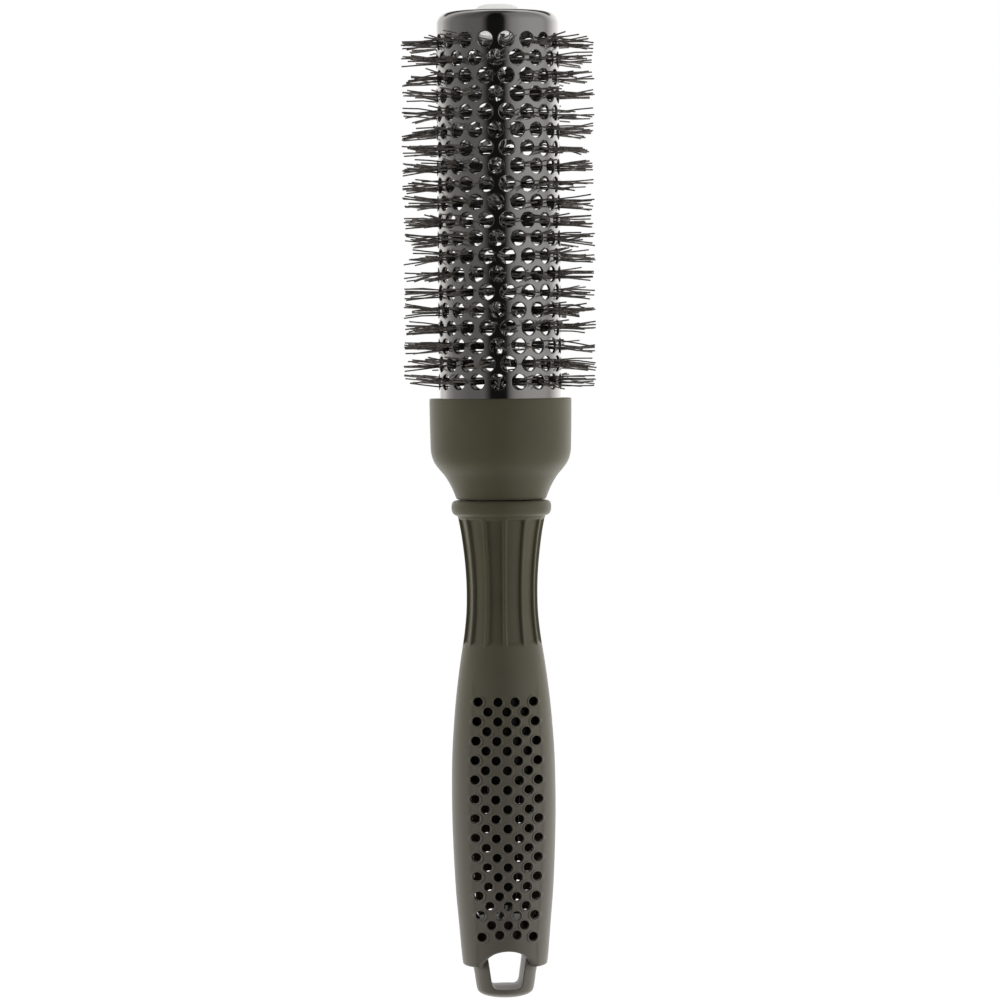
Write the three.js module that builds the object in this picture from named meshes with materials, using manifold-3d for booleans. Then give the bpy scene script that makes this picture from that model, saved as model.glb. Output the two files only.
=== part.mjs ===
// Round barrel brush: a perforated metal barrel, nylon bristles on a twisted wire stem, and a hollow handle
// with a pull-out sectioning pick. Millimetres, +Z up, front at -Y, origin under the hang loop.
import * as THREE from "three";
import { mergeVertices } from "three/addons/utils/BufferGeometryUtils.js";
import Module from "manifold-3d";

const wasm = await Module();
wasm.setup();

// ---------------------------------------------------------------- driving dimensions
const GAP = 0.3; // clearance between pieces that touch

// Barrel: a drawn tube with a rolled-over shoulder and staggered rows of holes.
const BARREL_RADIUS = 16;
const BARREL_WALL = 0.8;
const BARREL_BOTTOM = 147;
const SHOULDER_START = 252.9;
const SHOULDER_CORNER = [3, 2.9]; // half sizes of the rounding, along radius and height
const MOUTH_TOP = 256.4;
const MOUTH_RADIUS = 7;
const HOLE_ROWS = 20;
const HOLES_PER_ROW = 18;
const HOLE_RADIUS = 2.3;
const TOP_ROW_Z = 248.1;
const ROW_PITCH = 4.62;
const ROW_START_ANGLES = [3.6, -6.4]; // degrees from the front, odd rows then even rows

// Bristles: each row is a wound root round the stem with one fan of filaments to each hole.
const TIP_RADIUS = 25.3;
const ROOT_RADIUS = 4;
const ROOT_BORE = 2.65;
const ROOT_HEIGHT = 2;
const FAN_WIDTH = 3;

// Stem: two steel wires twisted left-handed.
const WIRE_RADIUS = 0.75;
const WIRE_OFFSET = 1.35;
const WIRE_LEAD = 11;
const STEM_BOTTOM = 118;
const STEM_TOP = 253;

// End cap.
const CAP_RADIUS = MOUTH_RADIUS - GAP;
const CAP_FLAT_RADIUS = 3.5;
const CAP_TOP = 257.9;
const CAP_HUB_RADIUS = 4.6;
const CAP_HUB_BOTTOM = 250.3;
const CAP_BORE_RADIUS = 3;
const CAP_LIP = 1; // how far the lip reaches out under the mouth, and its height
const CAP_LIP_SLOPE = 0.6;

// Cup that holds the barrel.
const CUP_RIM = 156;
const CUP_RIM_RADIUS = 18.46;
const CUP_FOOT = 129.8;
const SPIGOT_RADIUS = 6;
const SPIGOT_TOP = 146;
const CUP_SHELF_WIDTH = 2.4; // ledge under the barrel's foot
const CUP_BOSS_WALL = 2.2; // sleeve round the spigot
const CUP_BOSS_TOP = 143.5;
const CUP_WELL_FLOOR = 138.5;
const CUP_WELL_WIDTH = 1.4;

// Grip shell: a bead, a fluted neck and a hollow perforated body.
const BEAD_TOP = 129.5;
const BEAD_BOTTOM = 125.45;
const BEAD_RADIUS = 13;
const BEAD_ROUNDING = 0.9;
const FLUTE_COUNT = 12;
const FLUTE_DEPTH = 0.8;
const FLUTE_TOP = 124.6;
const FLUTE_BOTTOM = 92;
const FLUTE_RUN_OUT = 2.5; // height over which a flute comes to its full depth
const RIB_CREST = 1.5; // half widths of a rib at its crest and its foot, in degrees
const RIB_FOOT = 4.5;
const SHELL_WALL = 1.9;
const WAIST = 104.5; // height of the neck's narrowest place
const NECK_BORE = 8.2;
const NECK_BORE_START = 118;
const GRIP_BOTTOM = 8.4;
const GRIP_EDGE = 1.2; // rounding of the outer lower edge
const BODY_TOP = 86; // where the hand's part ends and the neck begins
const SOCKET_RADIUS = 8.6;
const SOCKET_TOP = 21;
const ARCH_HALF_WIDTH = 7.65;
const ARCH_RISE = 4.5;
const ARCH_ROUNDNESS = 0.6; // 1 for a round arc, 0 for half an ellipse
const ARCH_STEPS = 12;

// Neck core, which carries the cup, the stem and the pick's guide bore.
const CORE_BOTTOM = 57;
const CORE_TOP = 129.2;
const STEM_SOCKET_RADIUS = 2.5;
const PICK_BORE_RADIUS = 2;
const PICK_BORE_TOP = 86;
const GUIDE_BOTTOM = 24; // tapered tube round the pick, below the core's body
const GUIDE_RADII = [2.9, 4.3];
const GUIDE_LEAD_IN = 0.6;

// Hang loop and sectioning pick.
const PLUG_RADIUS = SOCKET_RADIUS - GAP;
const PLUG_TOP = 20.7;
const SLOT_FLOOR = 2.8;
const SLOT_CEILING = 14.6;
const SLOT_FLOOR_WIDTH = 6.8;
const SLOT_CEILING_WIDTH = 10.3;
const SLOT_CORNER = 1.2;
const PICK_ROOT = 16.8;
const PICK_TIP = 84;
const PICK_SHANK_TOP = 34;
const PICK_ROOT_RADIUS = 1.5;
const PICK_TIP_RADIUS = 0.8;

const ROUND_SEGMENTS = 32; // pieces that show
const INNER_SEGMENTS = 20; // pieces inside others

// ---------------------------------------------------------------- shape helpers
const { degToRad, lerp, euclideanModulo } = THREE.MathUtils;

// A point at an angle in degrees from the front, turning towards +X.
function around(radius, angle, z) {
  const a = degToRad(angle);
  return [radius * Math.sin(a), -radius * Math.cos(a), z];
}

// Collects vertices and triangles of one closed solid.
class Skin {
  positions = [];
  triangles = [];

  vertex(point) {
    this.positions.push(...point);
    return this.positions.length / 3 - 1;
  }

  triangle(a, b, c) {
    this.triangles.push(a, b, c);
  }

  quad(a, b, c, d) {
    this.triangle(a, b, c);
    this.triangle(a, c, d);
  }

  // A ring of vertices at the given angles; radiusAt may vary with the angle's place in the list.
  ring(angles, z, radiusAt) {
    return angles.map((angle, i) => ({ angle, id: this.vertex(around(radiusAt(i), angle, z)) }));
  }

  // Joins two rings, the lower one first, with triangles that face away from the axis.
  zip(lower, upper, inward = false) {
    const first = lower[0].angle;
    const near = upper.map(({ angle, id }) => ({
      angle: first + euclideanModulo(angle - first + 180, 360) - 180,
      id,
    }));
    near.sort((p, q) => p.angle - q.angle);
    let start = 0;
    near.forEach((p, i) => {
      if (Math.abs(p.angle - first) < Math.abs(near[start].angle - first)) start = i;
    });
    const turned = near.map((_, i) => {
      const k = start + i;
      const lap = k >= near.length ? 360 : 0;
      const p = near[k % near.length];
      return { angle: p.angle + lap, id: p.id };
    });
    const low = [...lower, { angle: first + 360, id: lower[0].id }];
    const high = [...turned, { angle: turned[0].angle + 360, id: turned[0].id }];
    let i = 0;
    let j = 0;
    while (i < low.length - 1 || j < high.length - 1) {
      const useLow =
        j === high.length - 1 || (i < low.length - 1 && low[i + 1].angle <= high[j + 1].angle);
      const [a, b, c] = useLow
        ? [low[i].id, low[i + 1].id, high[j].id]
        : [low[i].id, high[j + 1].id, high[j].id];
      if (inward) this.triangle(a, c, b);
      else this.triangle(a, b, c);
      if (useLow) i += 1;
      else j += 1;
    }
  }

  geometry() {
    const made = new THREE.BufferGeometry();
    made.setAttribute("position", new THREE.Float32BufferAttribute(this.positions, 3));
    made.setIndex(this.triangles);
    made.computeVertexNormals();
    return made;
  }
}

function evenAngles(count, start = 0) {
  return Array.from({ length: count }, (_, i) => start + (360 * i) / count);
}

// A solid of revolution about Z; the outline runs up the outside and down the inside.
function turned(outline, segments = ROUND_SEGMENTS) {
  const points = outline.map(([radius, z]) => new THREE.Vector2(radius, z));
  return new THREE.LatheGeometry(points, segments).rotateX(Math.PI / 2);
}

// A prism through the whole handle along Y, from an outline in X and Z.
function throughPrism(outline) {
  const depth = 4 * BARREL_RADIUS;
  const prism = new THREE.ExtrudeGeometry(outline, { depth, bevelEnabled: false, curveSegments: 6 });
  return prism.rotateX(Math.PI / 2).translate(0, depth / 2, 0);
}

function solidOf(geometry) {
  const bare = geometry.clone();
  bare.deleteAttribute("normal");
  bare.deleteAttribute("uv");
  const merged = mergeVertices(bare, 1e-4);
  const vertProperties = merged.getAttribute("position").array;
  const triVerts = new Uint32Array(merged.index.array);
  return new wasm.Manifold(new wasm.Mesh({ numProp: 3, vertProperties, triVerts }));
}

function cut(geometry, tool) {
  const mesh = solidOf(geometry).subtract(solidOf(tool)).getMesh();
  const made = new THREE.BufferGeometry();
  made.setAttribute("position", new THREE.BufferAttribute(mesh.vertProperties, 3));
  made.setIndex(new THREE.BufferAttribute(mesh.triVerts, 1));
  made.computeVertexNormals();
  return made;
}

// A smooth outline through a few (radius, z) points.
function smooth(points, divisions) {
  const curve = new THREE.SplineCurve(points.map(([r, z]) => new THREE.Vector2(r, z)));
  return curve.getPoints(divisions).map(({ x, y }) => [x, y]);
}

// ---------------------------------------------------------------- barrel and bristles
function rowAngles(row) {
  return evenAngles(HOLES_PER_ROW, ROW_START_ANGLES[row % 2]);
}

function rowHeight(row) {
  return TOP_ROW_Z - row * ROW_PITCH;
}

// The four-cornered holes of one row on one surface: left, top, right and bottom corners.
function holeCorners(skin, row, radius) {
  const spread = THREE.MathUtils.radToDeg(HOLE_RADIUS / BARREL_RADIUS);
  const z = rowHeight(row);
  return rowAngles(row).map((angle) => {
    const corner = (turn, rise) => {
      const at = angle + turn;
      return { angle: at, id: skin.vertex(around(radius, at, z + rise)) };
    };
    return {
      left: corner(-spread, 0),
      top: corner(0, HOLE_RADIUS),
      right: corner(spread, 0),
      bottom: corner(0, -HOLE_RADIUS),
    };
  });
}

// Rounding from the tube's side onto the shallow cone up to its mouth, offset inwards by the wall for the inside.
function shoulderOutline(inset) {
  const steps = 3;
  const [width, height] = SHOULDER_CORNER;
  const corner = Array.from({ length: steps + 1 }, (_, i) => {
    const a = (i / steps) * degToRad(84);
    const radius = BARREL_RADIUS - width + (width - inset) * Math.cos(a);
    return [radius, SHOULDER_START + (height - inset) * Math.sin(a)];
  });
  return [...corner, [MOUTH_RADIUS, MOUTH_TOP - inset]];
}

function barrelGeometry() {
  const skin = new Skin();
  const plain = evenAngles(2 * HOLES_PER_ROW, ROW_START_ANGLES[0]);
  const surfaces = [0, BARREL_WALL].map((inset) => {
    const inward = inset > 0;
    const radius = BARREL_RADIUS - inset;
    const rows = [];
    for (let row = HOLE_ROWS - 1; row >= 0; row -= 1) rows.push(holeCorners(skin, row, radius));
    const foot = skin.ring(plain, BARREL_BOTTOM, () => radius);
    let below = foot;
    rows.forEach((holes) => {
      skin.zip(below, holes.flatMap((h) => [h.left, h.bottom, h.right]), inward);
      below = holes.flatMap((h) => [h.left, h.top, h.right]);
    });
    shoulderOutline(inset).forEach(([r, z]) => {
      const next = skin.ring(plain, z, () => r);
      skin.zip(below, next, inward);
      below = next;
    });
    return { rows, foot, mouth: below };
  });
  const [outside, inside] = surfaces;
  outside.rows.forEach((holes, row) =>
    holes.forEach((outer, i) => {
      const inner = inside.rows[row][i];
      const sides = ["left", "bottom", "right", "top"];
      sides.forEach((side, k) => {
        const next = sides[(k + 1) % sides.length];
        skin.quad(outer[side].id, outer[next].id, inner[next].id, inner[side].id);
      });
    }),
  );
  skin.zip(outside.foot, inside.foot, true);
  skin.zip(outside.mouth, inside.mouth);
  return skin.geometry();
}

// One row of bristles: a ring of root round the stem, and a fan of filaments through each hole of its row.
function bristleRowGeometry(row) {
  const skin = new Skin();
  const z = rowHeight(row);
  const low = z - ROOT_HEIGHT / 2;
  const high = z + ROOT_HEIGHT / 2;
  const pitch = 360 / HOLES_PER_ROW;
  const centres = rowAngles(row);
  const seams = centres.map((angle) => angle - pitch / 2);
  const bores = evenAngles(HOLES_PER_ROW / 2, seams[0]);
  const lowSeam = skin.ring(seams, low, () => ROOT_RADIUS);
  const highSeam = skin.ring(seams, high, () => ROOT_RADIUS);
  const lowBore = skin.ring(bores, low, () => ROOT_BORE);
  const highBore = skin.ring(bores, high, () => ROOT_BORE);
  skin.zip(lowBore, highBore, true);
  skin.zip(highSeam, highBore);
  skin.zip(lowSeam, lowBore, true);
  const halfFan = THREE.MathUtils.radToDeg(FAN_WIDTH / 2 / TIP_RADIUS);
  centres.forEach((angle, i) => {
    const next = (i + 1) % centres.length;
    const tipLeft = skin.vertex(around(TIP_RADIUS, angle - halfFan, z));
    const tipRight = skin.vertex(around(TIP_RADIUS, angle + halfFan, z));
    skin.quad(lowSeam[i].id, lowSeam[next].id, tipRight, tipLeft);
    skin.quad(highSeam[i].id, tipLeft, tipRight, highSeam[next].id);
    skin.triangle(lowSeam[i].id, tipLeft, highSeam[i].id);
    skin.triangle(lowSeam[next].id, highSeam[next].id, tipRight);
  });
  return skin.geometry();
}

// One strand of the stem: a left-handed helix.
class Strand extends THREE.Curve {
  constructor(startAngle) {
    super();
    this.startAngle = startAngle;
  }

  getPoint(t, target = new THREE.Vector3()) {
    const z = lerp(STEM_BOTTOM, STEM_TOP, t);
    const angle = this.startAngle - (2 * Math.PI * (z - STEM_BOTTOM)) / WIRE_LEAD;
    return target.set(WIRE_OFFSET * Math.cos(angle), WIRE_OFFSET * Math.sin(angle), z);
  }
}

function stemWireGeometry(startAngle) {
  const section = new THREE.Shape();
  section.moveTo(WIRE_RADIUS, 0);
  section.lineTo(0, WIRE_RADIUS);
  section.lineTo(-WIRE_RADIUS, 0);
  section.lineTo(0, -WIRE_RADIUS);
  const stepsPerTurn = 6;
  const steps = Math.round((stepsPerTurn * (STEM_TOP - STEM_BOTTOM)) / WIRE_LEAD);
  const extrudePath = new Strand(startAngle);
  return new THREE.ExtrudeGeometry(section, { steps, extrudePath, bevelEnabled: false });
}

// Domed button with a lip under the barrel's mouth and a blind bore for the stem's end.
function endCapGeometry() {
  const underLip = MOUTH_TOP - BARREL_WALL - GAP;
  const outline = [
    [0, STEM_TOP + GAP],
    [CAP_BORE_RADIUS, STEM_TOP + GAP],
    [CAP_BORE_RADIUS, CAP_HUB_BOTTOM],
    [CAP_HUB_RADIUS, CAP_HUB_BOTTOM],
    [CAP_HUB_RADIUS, underLip - CAP_LIP - CAP_LIP_SLOPE],
    [CAP_RADIUS + CAP_LIP, underLip - CAP_LIP],
    [CAP_RADIUS + CAP_LIP, underLip],
    [CAP_RADIUS, underLip],
    [CAP_RADIUS, MOUTH_TOP],
    [0.8 * CAP_RADIUS, CAP_TOP - 0.2],
    [CAP_FLAT_RADIUS, CAP_TOP],
    [0, CAP_TOP],
  ];
  return turned(outline, INNER_SEGMENTS);
}

// ---------------------------------------------------------------- cup and handle
function barrelCupGeometry() {
  const seat = BARREL_RADIUS + GAP;
  const shelf = BARREL_BOTTOM - GAP;
  const bore = SPIGOT_RADIUS + GAP;
  const bossRadius = bore + CUP_BOSS_WALL;
  const flare = smooth(
    [
      [11.7, CUP_FOOT],
      [12.6, 132.3],
      [14.2, 135.3],
      [16.4, 138],
      [17.7, 140.1],
      [18.28, 143],
    ],
    7,
  );
  return turned([
    [bore, CUP_FOOT],
    ...flare,
    [CUP_RIM_RADIUS, CUP_RIM],
    [seat, CUP_RIM],
    [seat, shelf],
    [seat - CUP_SHELF_WIDTH, shelf],
    [bossRadius + CUP_WELL_WIDTH, CUP_WELL_FLOOR],
    [bossRadius, CUP_WELL_FLOOR],
    [bossRadius, CUP_BOSS_TOP],
    [bore, CUP_BOSS_TOP],
    [bore, CUP_FOOT],
  ]);
}

// Outer radius of the handle at a height: a waist in the neck and a belly in the hand.
const HANDLE_OUTLINE = new THREE.SplineCurve(
  [
    [11, GRIP_BOTTOM],
    [12.68, 27.5],
    [13.53, 52.5],
    [12.84, 71.2],
    [10.31, FLUTE_BOTTOM],
    [9.24, WAIST],
    [10, 116.9],
    [11.25, FLUTE_TOP],
  ].map(([r, z]) => new THREE.Vector2(r, z)),
);

function handleRadius(z) {
  let low = 0;
  let high = 1;
  for (let i = 0; i < 30; i += 1) {
    const middle = (low + high) / 2;
    if (HANDLE_OUTLINE.getPoint(middle).y < z) low = middle;
    else high = middle;
  }
  return HANDLE_OUTLINE.getPoint(low).x;
}

// Inner radius of the grip shell between the loop's socket and the waist.
function cavityRadius(z) {
  return handleRadius(z) - SHELL_WALL;
}

function heightSteps(bottom, top, steps) {
  return Array.from({ length: steps + 1 }, (_, i) => lerp(bottom, top, i / steps));
}

// Mouth of the grip, between a round arc and an ellipse, carried on below the grip's edge.
function archOutline() {
  const below = GRIP_BOTTOM - 2;
  const arcRadius = (ARCH_HALF_WIDTH ** 2 + ARCH_RISE ** 2) / (2 * ARCH_RISE);
  const arch = new THREE.Shape();
  arch.moveTo(ARCH_HALF_WIDTH, below);
  for (let i = 0; i <= ARCH_STEPS; i += 1) {
    const x = ARCH_HALF_WIDTH * Math.cos((Math.PI * i) / ARCH_STEPS);
    const arc = Math.sqrt(arcRadius ** 2 - x ** 2) - (arcRadius - ARCH_RISE);
    const ellipse = ARCH_RISE * Math.sqrt(Math.max(0, 1 - (x / ARCH_HALF_WIDTH) ** 2));
    arch.lineTo(x, GRIP_BOTTOM + lerp(ellipse, arc, ARCH_ROUNDNESS));
  }
  arch.lineTo(-ARCH_HALF_WIDTH, below);
  return arch;
}

function gripShellGeometry() {
  const skin = new Skin();
  const round = evenAngles(ROUND_SEGMENTS);
  const pitch = 360 / FLUTE_COUNT;
  // Rib crest, then the flute's floor, with a slope between them.
  const fluted = evenAngles(FLUTE_COUNT).flatMap((rib) => [
    rib - RIB_CREST,
    rib + RIB_CREST,
    rib + RIB_FOOT,
    rib + pitch - RIB_FOOT,
  ]);
  const fluteRing = (z, depth) =>
    skin.ring(fluted, z, (i) => handleRadius(z) - (i % 4 > 1 ? depth : 0));
  const roundRing = (z, radius) => skin.ring(round, z, () => radius);
  const outside = [
    roundRing(GRIP_BOTTOM, handleRadius(GRIP_BOTTOM) - GRIP_EDGE),
    roundRing(GRIP_BOTTOM + 0.3 * GRIP_EDGE, handleRadius(GRIP_BOTTOM) - 0.3 * GRIP_EDGE),
    ...heightSteps(GRIP_BOTTOM + GRIP_EDGE, BODY_TOP, 7).map((z) => roundRing(z, handleRadius(z))),
    fluteRing(FLUTE_BOTTOM, 0),
    ...heightSteps(FLUTE_BOTTOM + FLUTE_RUN_OUT, FLUTE_TOP, 5).map((z) => fluteRing(z, FLUTE_DEPTH)),
    roundRing(BEAD_BOTTOM, BEAD_RADIUS - BEAD_ROUNDING),
    roundRing(BEAD_BOTTOM + BEAD_ROUNDING, BEAD_RADIUS),
    roundRing(BEAD_TOP - BEAD_ROUNDING, BEAD_RADIUS),
    roundRing(BEAD_TOP, BEAD_RADIUS - BEAD_ROUNDING),
  ];
  const inside = [
    roundRing(GRIP_BOTTOM, SOCKET_RADIUS),
    roundRing(SOCKET_TOP, SOCKET_RADIUS),
    ...heightSteps(SOCKET_TOP + 1.5, WAIST, 6).map((z) => roundRing(z, cavityRadius(z))),
    roundRing(NECK_BORE_START, NECK_BORE),
    roundRing(BEAD_TOP, NECK_BORE),
  ];
  outside.slice(1).forEach((ring, i) => skin.zip(outside[i], ring));
  inside.slice(1).forEach((ring, i) => skin.zip(inside[i], ring, true));
  skin.zip(outside[0], inside[0], true);
  skin.zip(outside.at(-1), inside.at(-1));
  return cut(skin.geometry(), throughPrism(archOutline()));
}

// Rigid core: the cup's spigot on top, the stem's socket in it, and a guide bore for the pick below.
function neckCoreGeometry() {
  const body = heightSteps(CORE_BOTTOM, WAIST, 5).map((z) => [cavityRadius(z) - GAP, z]);
  const outline = [
    [0, PICK_BORE_TOP],
    [PICK_BORE_RADIUS, PICK_BORE_TOP],
    [PICK_BORE_RADIUS, GUIDE_BOTTOM + GUIDE_LEAD_IN],
    [PICK_BORE_RADIUS + GUIDE_LEAD_IN, GUIDE_BOTTOM],
    [GUIDE_RADII[0], GUIDE_BOTTOM],
    [GUIDE_RADII[1], CORE_BOTTOM],
    ...body,
    [NECK_BORE - GAP, NECK_BORE_START],
    [NECK_BORE - GAP, CORE_TOP],
    [SPIGOT_RADIUS, CORE_TOP],
    [SPIGOT_RADIUS, SPIGOT_TOP],
    [STEM_SOCKET_RADIUS, SPIGOT_TOP],
    [STEM_SOCKET_RADIUS, STEM_BOTTOM - GAP],
    [0, STEM_BOTTOM - GAP],
  ];
  return turned(outline, INNER_SEGMENTS);
}

// ---------------------------------------------------------------- hang loop and pick
function hangLoopGeometry() {
  const body = turned([
    [0, 0],
    [4.4, 0.2],
    [6.3, 0.9],
    [7.15, 2.1],
    [7.6, 4.6],
    [8, GRIP_BOTTOM - GAP],
    [PLUG_RADIUS, 9.2],
    [PLUG_RADIUS, PLUG_TOP],
    [PICK_ROOT_RADIUS + GAP, PLUG_TOP],
    [PICK_ROOT_RADIUS + GAP, PICK_ROOT - GAP],
    [0, PICK_ROOT - GAP],
  ]);
  const corner = SLOT_CORNER;
  const low = SLOT_FLOOR_WIDTH / 2;
  const high = SLOT_CEILING_WIDTH / 2;
  const slot = new THREE.Shape();
  slot.moveTo(-low + corner, SLOT_FLOOR);
  slot.lineTo(low - corner, SLOT_FLOOR);
  slot.quadraticCurveTo(low, SLOT_FLOOR, low + 0.1 * corner, SLOT_FLOOR + corner);
  slot.lineTo(high, SLOT_CEILING);
  slot.lineTo(-high, SLOT_CEILING);
  slot.lineTo(-low - 0.1 * corner, SLOT_FLOOR + corner);
  slot.quadraticCurveTo(-low, SLOT_FLOOR, -low + corner, SLOT_FLOOR);
  return cut(body, throughPrism(slot));
}

function sectioningPickGeometry() {
  return turned(
    [
      [0, PICK_ROOT],
      [PICK_ROOT_RADIUS, PICK_ROOT],
      [PICK_ROOT_RADIUS, PICK_SHANK_TOP],
      [PICK_TIP_RADIUS, PICK_TIP - 1],
      [0.5 * PICK_TIP_RADIUS, PICK_TIP - 0.2],
      [0, PICK_TIP],
    ],
    10,
  );
}

// ---------------------------------------------------------------- assembly
function finish(color, roughness, metalness) {
  return new THREE.MeshStandardMaterial({ color, roughness, metalness });
}

const GUNMETAL = finish(0x77736e, 0.25, 0.9);
const PALE_PLASTIC = finish(0xdcdbd7, 0.35, 0);
const BRIGHT_STEEL = finish(0xc4c4c2, 0.25, 1);
const BLACK_NYLON = finish(0x17151a, 0.35, 0);
const SOFT_TOUCH = finish(0x4c493d, 0.6, 0);
const CORE_PLASTIC = finish(0x262624, 0.5, 0);

function part(name, geometry, material) {
  const mesh = new THREE.Mesh(geometry, material);
  mesh.name = name;
  return mesh;
}

const head = new THREE.Group();
head.add(
  part("barrel", barrelGeometry(), GUNMETAL),
  part("end_cap", endCapGeometry(), PALE_PLASTIC),
  part("stem_wire_a", stemWireGeometry(0), BRIGHT_STEEL),
  part("stem_wire_b", stemWireGeometry(Math.PI), BRIGHT_STEEL),
);
for (let row = 0; row < HOLE_ROWS; row += 1) {
  const label = String(row + 1).padStart(2, "0");
  head.add(part(`bristle_row_${label}`, bristleRowGeometry(row), BLACK_NYLON));
}

const handle = new THREE.Group();
handle.add(
  part("barrel_cup", barrelCupGeometry(), SOFT_TOUCH),
  part("neck_core", neckCoreGeometry(), CORE_PLASTIC),
  part("grip_shell", gripShellGeometry(), SOFT_TOUCH),
);

const pick = new THREE.Group();
pick.add(
  part("hang_loop", hangLoopGeometry(), SOFT_TOUCH),
  part("sectioning_pick", sectioningPickGeometry(), BRIGHT_STEEL),
);

const brush = new THREE.Group();
brush.add(head, handle, pick);

export default brush;
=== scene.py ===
"""Round barrel brush: the fine meshes, finishes, studio and camera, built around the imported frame.

Lengths inside the classes are in millimetres, as on a drawing, and angles are in degrees from the brush's
front, turning towards +X. Skin turns both into Blender's metres.
"""

import logging
import math
import random
from collections.abc import Iterable, Sequence
from dataclasses import dataclass, field
from enum import Enum

import bmesh
import bpy
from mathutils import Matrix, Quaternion, Vector
from mathutils.geometry import delaunay_2d_cdt


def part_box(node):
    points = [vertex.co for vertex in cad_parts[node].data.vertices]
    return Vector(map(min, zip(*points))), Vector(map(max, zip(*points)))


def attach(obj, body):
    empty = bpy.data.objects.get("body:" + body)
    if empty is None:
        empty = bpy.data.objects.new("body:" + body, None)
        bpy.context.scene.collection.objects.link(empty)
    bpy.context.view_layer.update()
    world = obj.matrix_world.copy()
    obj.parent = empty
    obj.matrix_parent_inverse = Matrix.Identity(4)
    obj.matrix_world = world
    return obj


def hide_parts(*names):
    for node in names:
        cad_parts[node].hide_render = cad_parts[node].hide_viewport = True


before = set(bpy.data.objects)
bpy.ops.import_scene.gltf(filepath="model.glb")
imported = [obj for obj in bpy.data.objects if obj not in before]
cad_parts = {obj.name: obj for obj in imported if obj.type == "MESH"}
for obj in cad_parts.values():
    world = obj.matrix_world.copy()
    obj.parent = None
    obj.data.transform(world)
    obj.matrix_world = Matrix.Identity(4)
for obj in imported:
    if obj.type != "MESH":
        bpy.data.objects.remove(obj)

LOG = logging.getLogger("barrel_brush")
MM = 0.001

Point = tuple[float, float, float]
Spot = tuple[float, float]


class Body(Enum):
    """The two rigid bodies of the brush."""

    BRUSH = "brush"
    PICK = "pick"


class Slot(Enum):
    """The record's material slots."""

    TUBE = "gunmetal_tube"
    CAP = "cap_plastic"
    STEM = "stem_steel"
    BRISTLE = "bristle_nylon"
    CUP = "soft_touch_cup"
    GRIP = "soft_touch_grip"
    CORE = "core_plastic"
    LOOP = "loop_plastic"
    PICK = "pick_steel"


# ------------------------------------------------------------------------------------------ measuring


def node_size(node: str) -> tuple[float, float, float]:
    """Reads a CAD node's outer radius and its two end heights.

    Args:
        node: The node's name.

    Returns:
        Outer radius, lowest height and highest height, in millimetres.
    """
    low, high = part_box(node)
    return max(high.x, high.y, -low.x, -low.y) / MM, low.z / MM, high.z / MM


def around(radius: float, angle: float, z: float) -> Point:
    """Places a point on a circle about the brush's axis.

    Args:
        radius: Distance from the axis.
        angle: Degrees from the front towards +X.
        z: Height.

    Returns:
        The point's X, Y and Z.
    """
    turn = math.radians(angle)
    return radius * math.sin(turn), -radius * math.cos(turn), z


def ease(low: float, high: float, value: float) -> float:
    """Rises smoothly from 0 at low to 1 at high.

    Args:
        low: Where it starts to rise.
        high: Where it is up.
        value: Where it is read.

    Returns:
        The share, from 0 to 1.
    """
    t = min(1.0, max(0.0, (value - low) / (high - low)))
    return t * t * (3 - 2 * t)


def arc(centre: Spot, radii: Spot, start: float, end: float, steps: int) -> list[Spot]:
    """Draws part of an ellipse in the plane of radius and height.

    Args:
        centre: The ellipse's centre.
        radii: Its half sizes along radius and height.
        start: First angle in degrees, 0 pointing outwards and 90 up.
        end: Last angle in degrees.
        steps: Number of straight pieces.

    Returns:
        The points from start to end.
    """
    turns = (math.radians(start + (end - start) * i / steps) for i in range(steps + 1))
    return [(centre[0] + radii[0] * math.cos(t), centre[1] + radii[1] * math.sin(t)) for t in turns]


class Curve:
    """A smooth line through a few (radius, height) points, read by height."""

    def __init__(self, points: Sequence[Spot]) -> None:
        """Keeps the points, lowest first."""
        self.points = list(points)

    def __call__(self, z: float) -> float:
        """Gives the radius at height z, with the end slopes held level beyond the ends.

        Args:
            z: Height.

        Returns:
            The radius.
        """
        pts = self.points
        if z <= pts[0][1]:
            return pts[0][0]
        if z >= pts[-1][1]:
            return pts[-1][0]
        i = max(k for k in range(len(pts) - 1) if pts[k][1] <= z)
        (r0, z0), (r1, z1) = pts[i], pts[i + 1]
        span = z1 - z0
        t = (z - z0) / span
        m0, m1 = self._slope(i) * span, self._slope(i + 1) * span
        return (
            (2 * t**3 - 3 * t**2 + 1) * r0
            + (t**3 - 2 * t**2 + t) * m0
            + (-2 * t**3 + 3 * t**2) * r1
            + (t**3 - t**2) * m1
        )

    def _slope(self, i: int) -> float:
        """Gives the line's slope at its point i.

        Args:
            i: The point's number.

        Returns:
            Change of radius for each millimetre of height.
        """
        pts = self.points
        a, b = pts[max(0, i - 1)], pts[min(len(pts) - 1, i + 1)]
        return (b[0] - a[0]) / (b[1] - a[1])

    def steps(self, count: int) -> list[Spot]:
        """Lists count + 1 points evenly spaced in height.

        Args:
            count: Number of equal steps.

        Returns:
            The points, lowest first.
        """
        low, high = self.points[0][1], self.points[-1][1]
        heights = [low + (high - low) * i / count for i in range(count + 1)]
        return [(self(z), z) for z in heights]


# ------------------------------------------------------------------------------------------ mesh making


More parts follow.
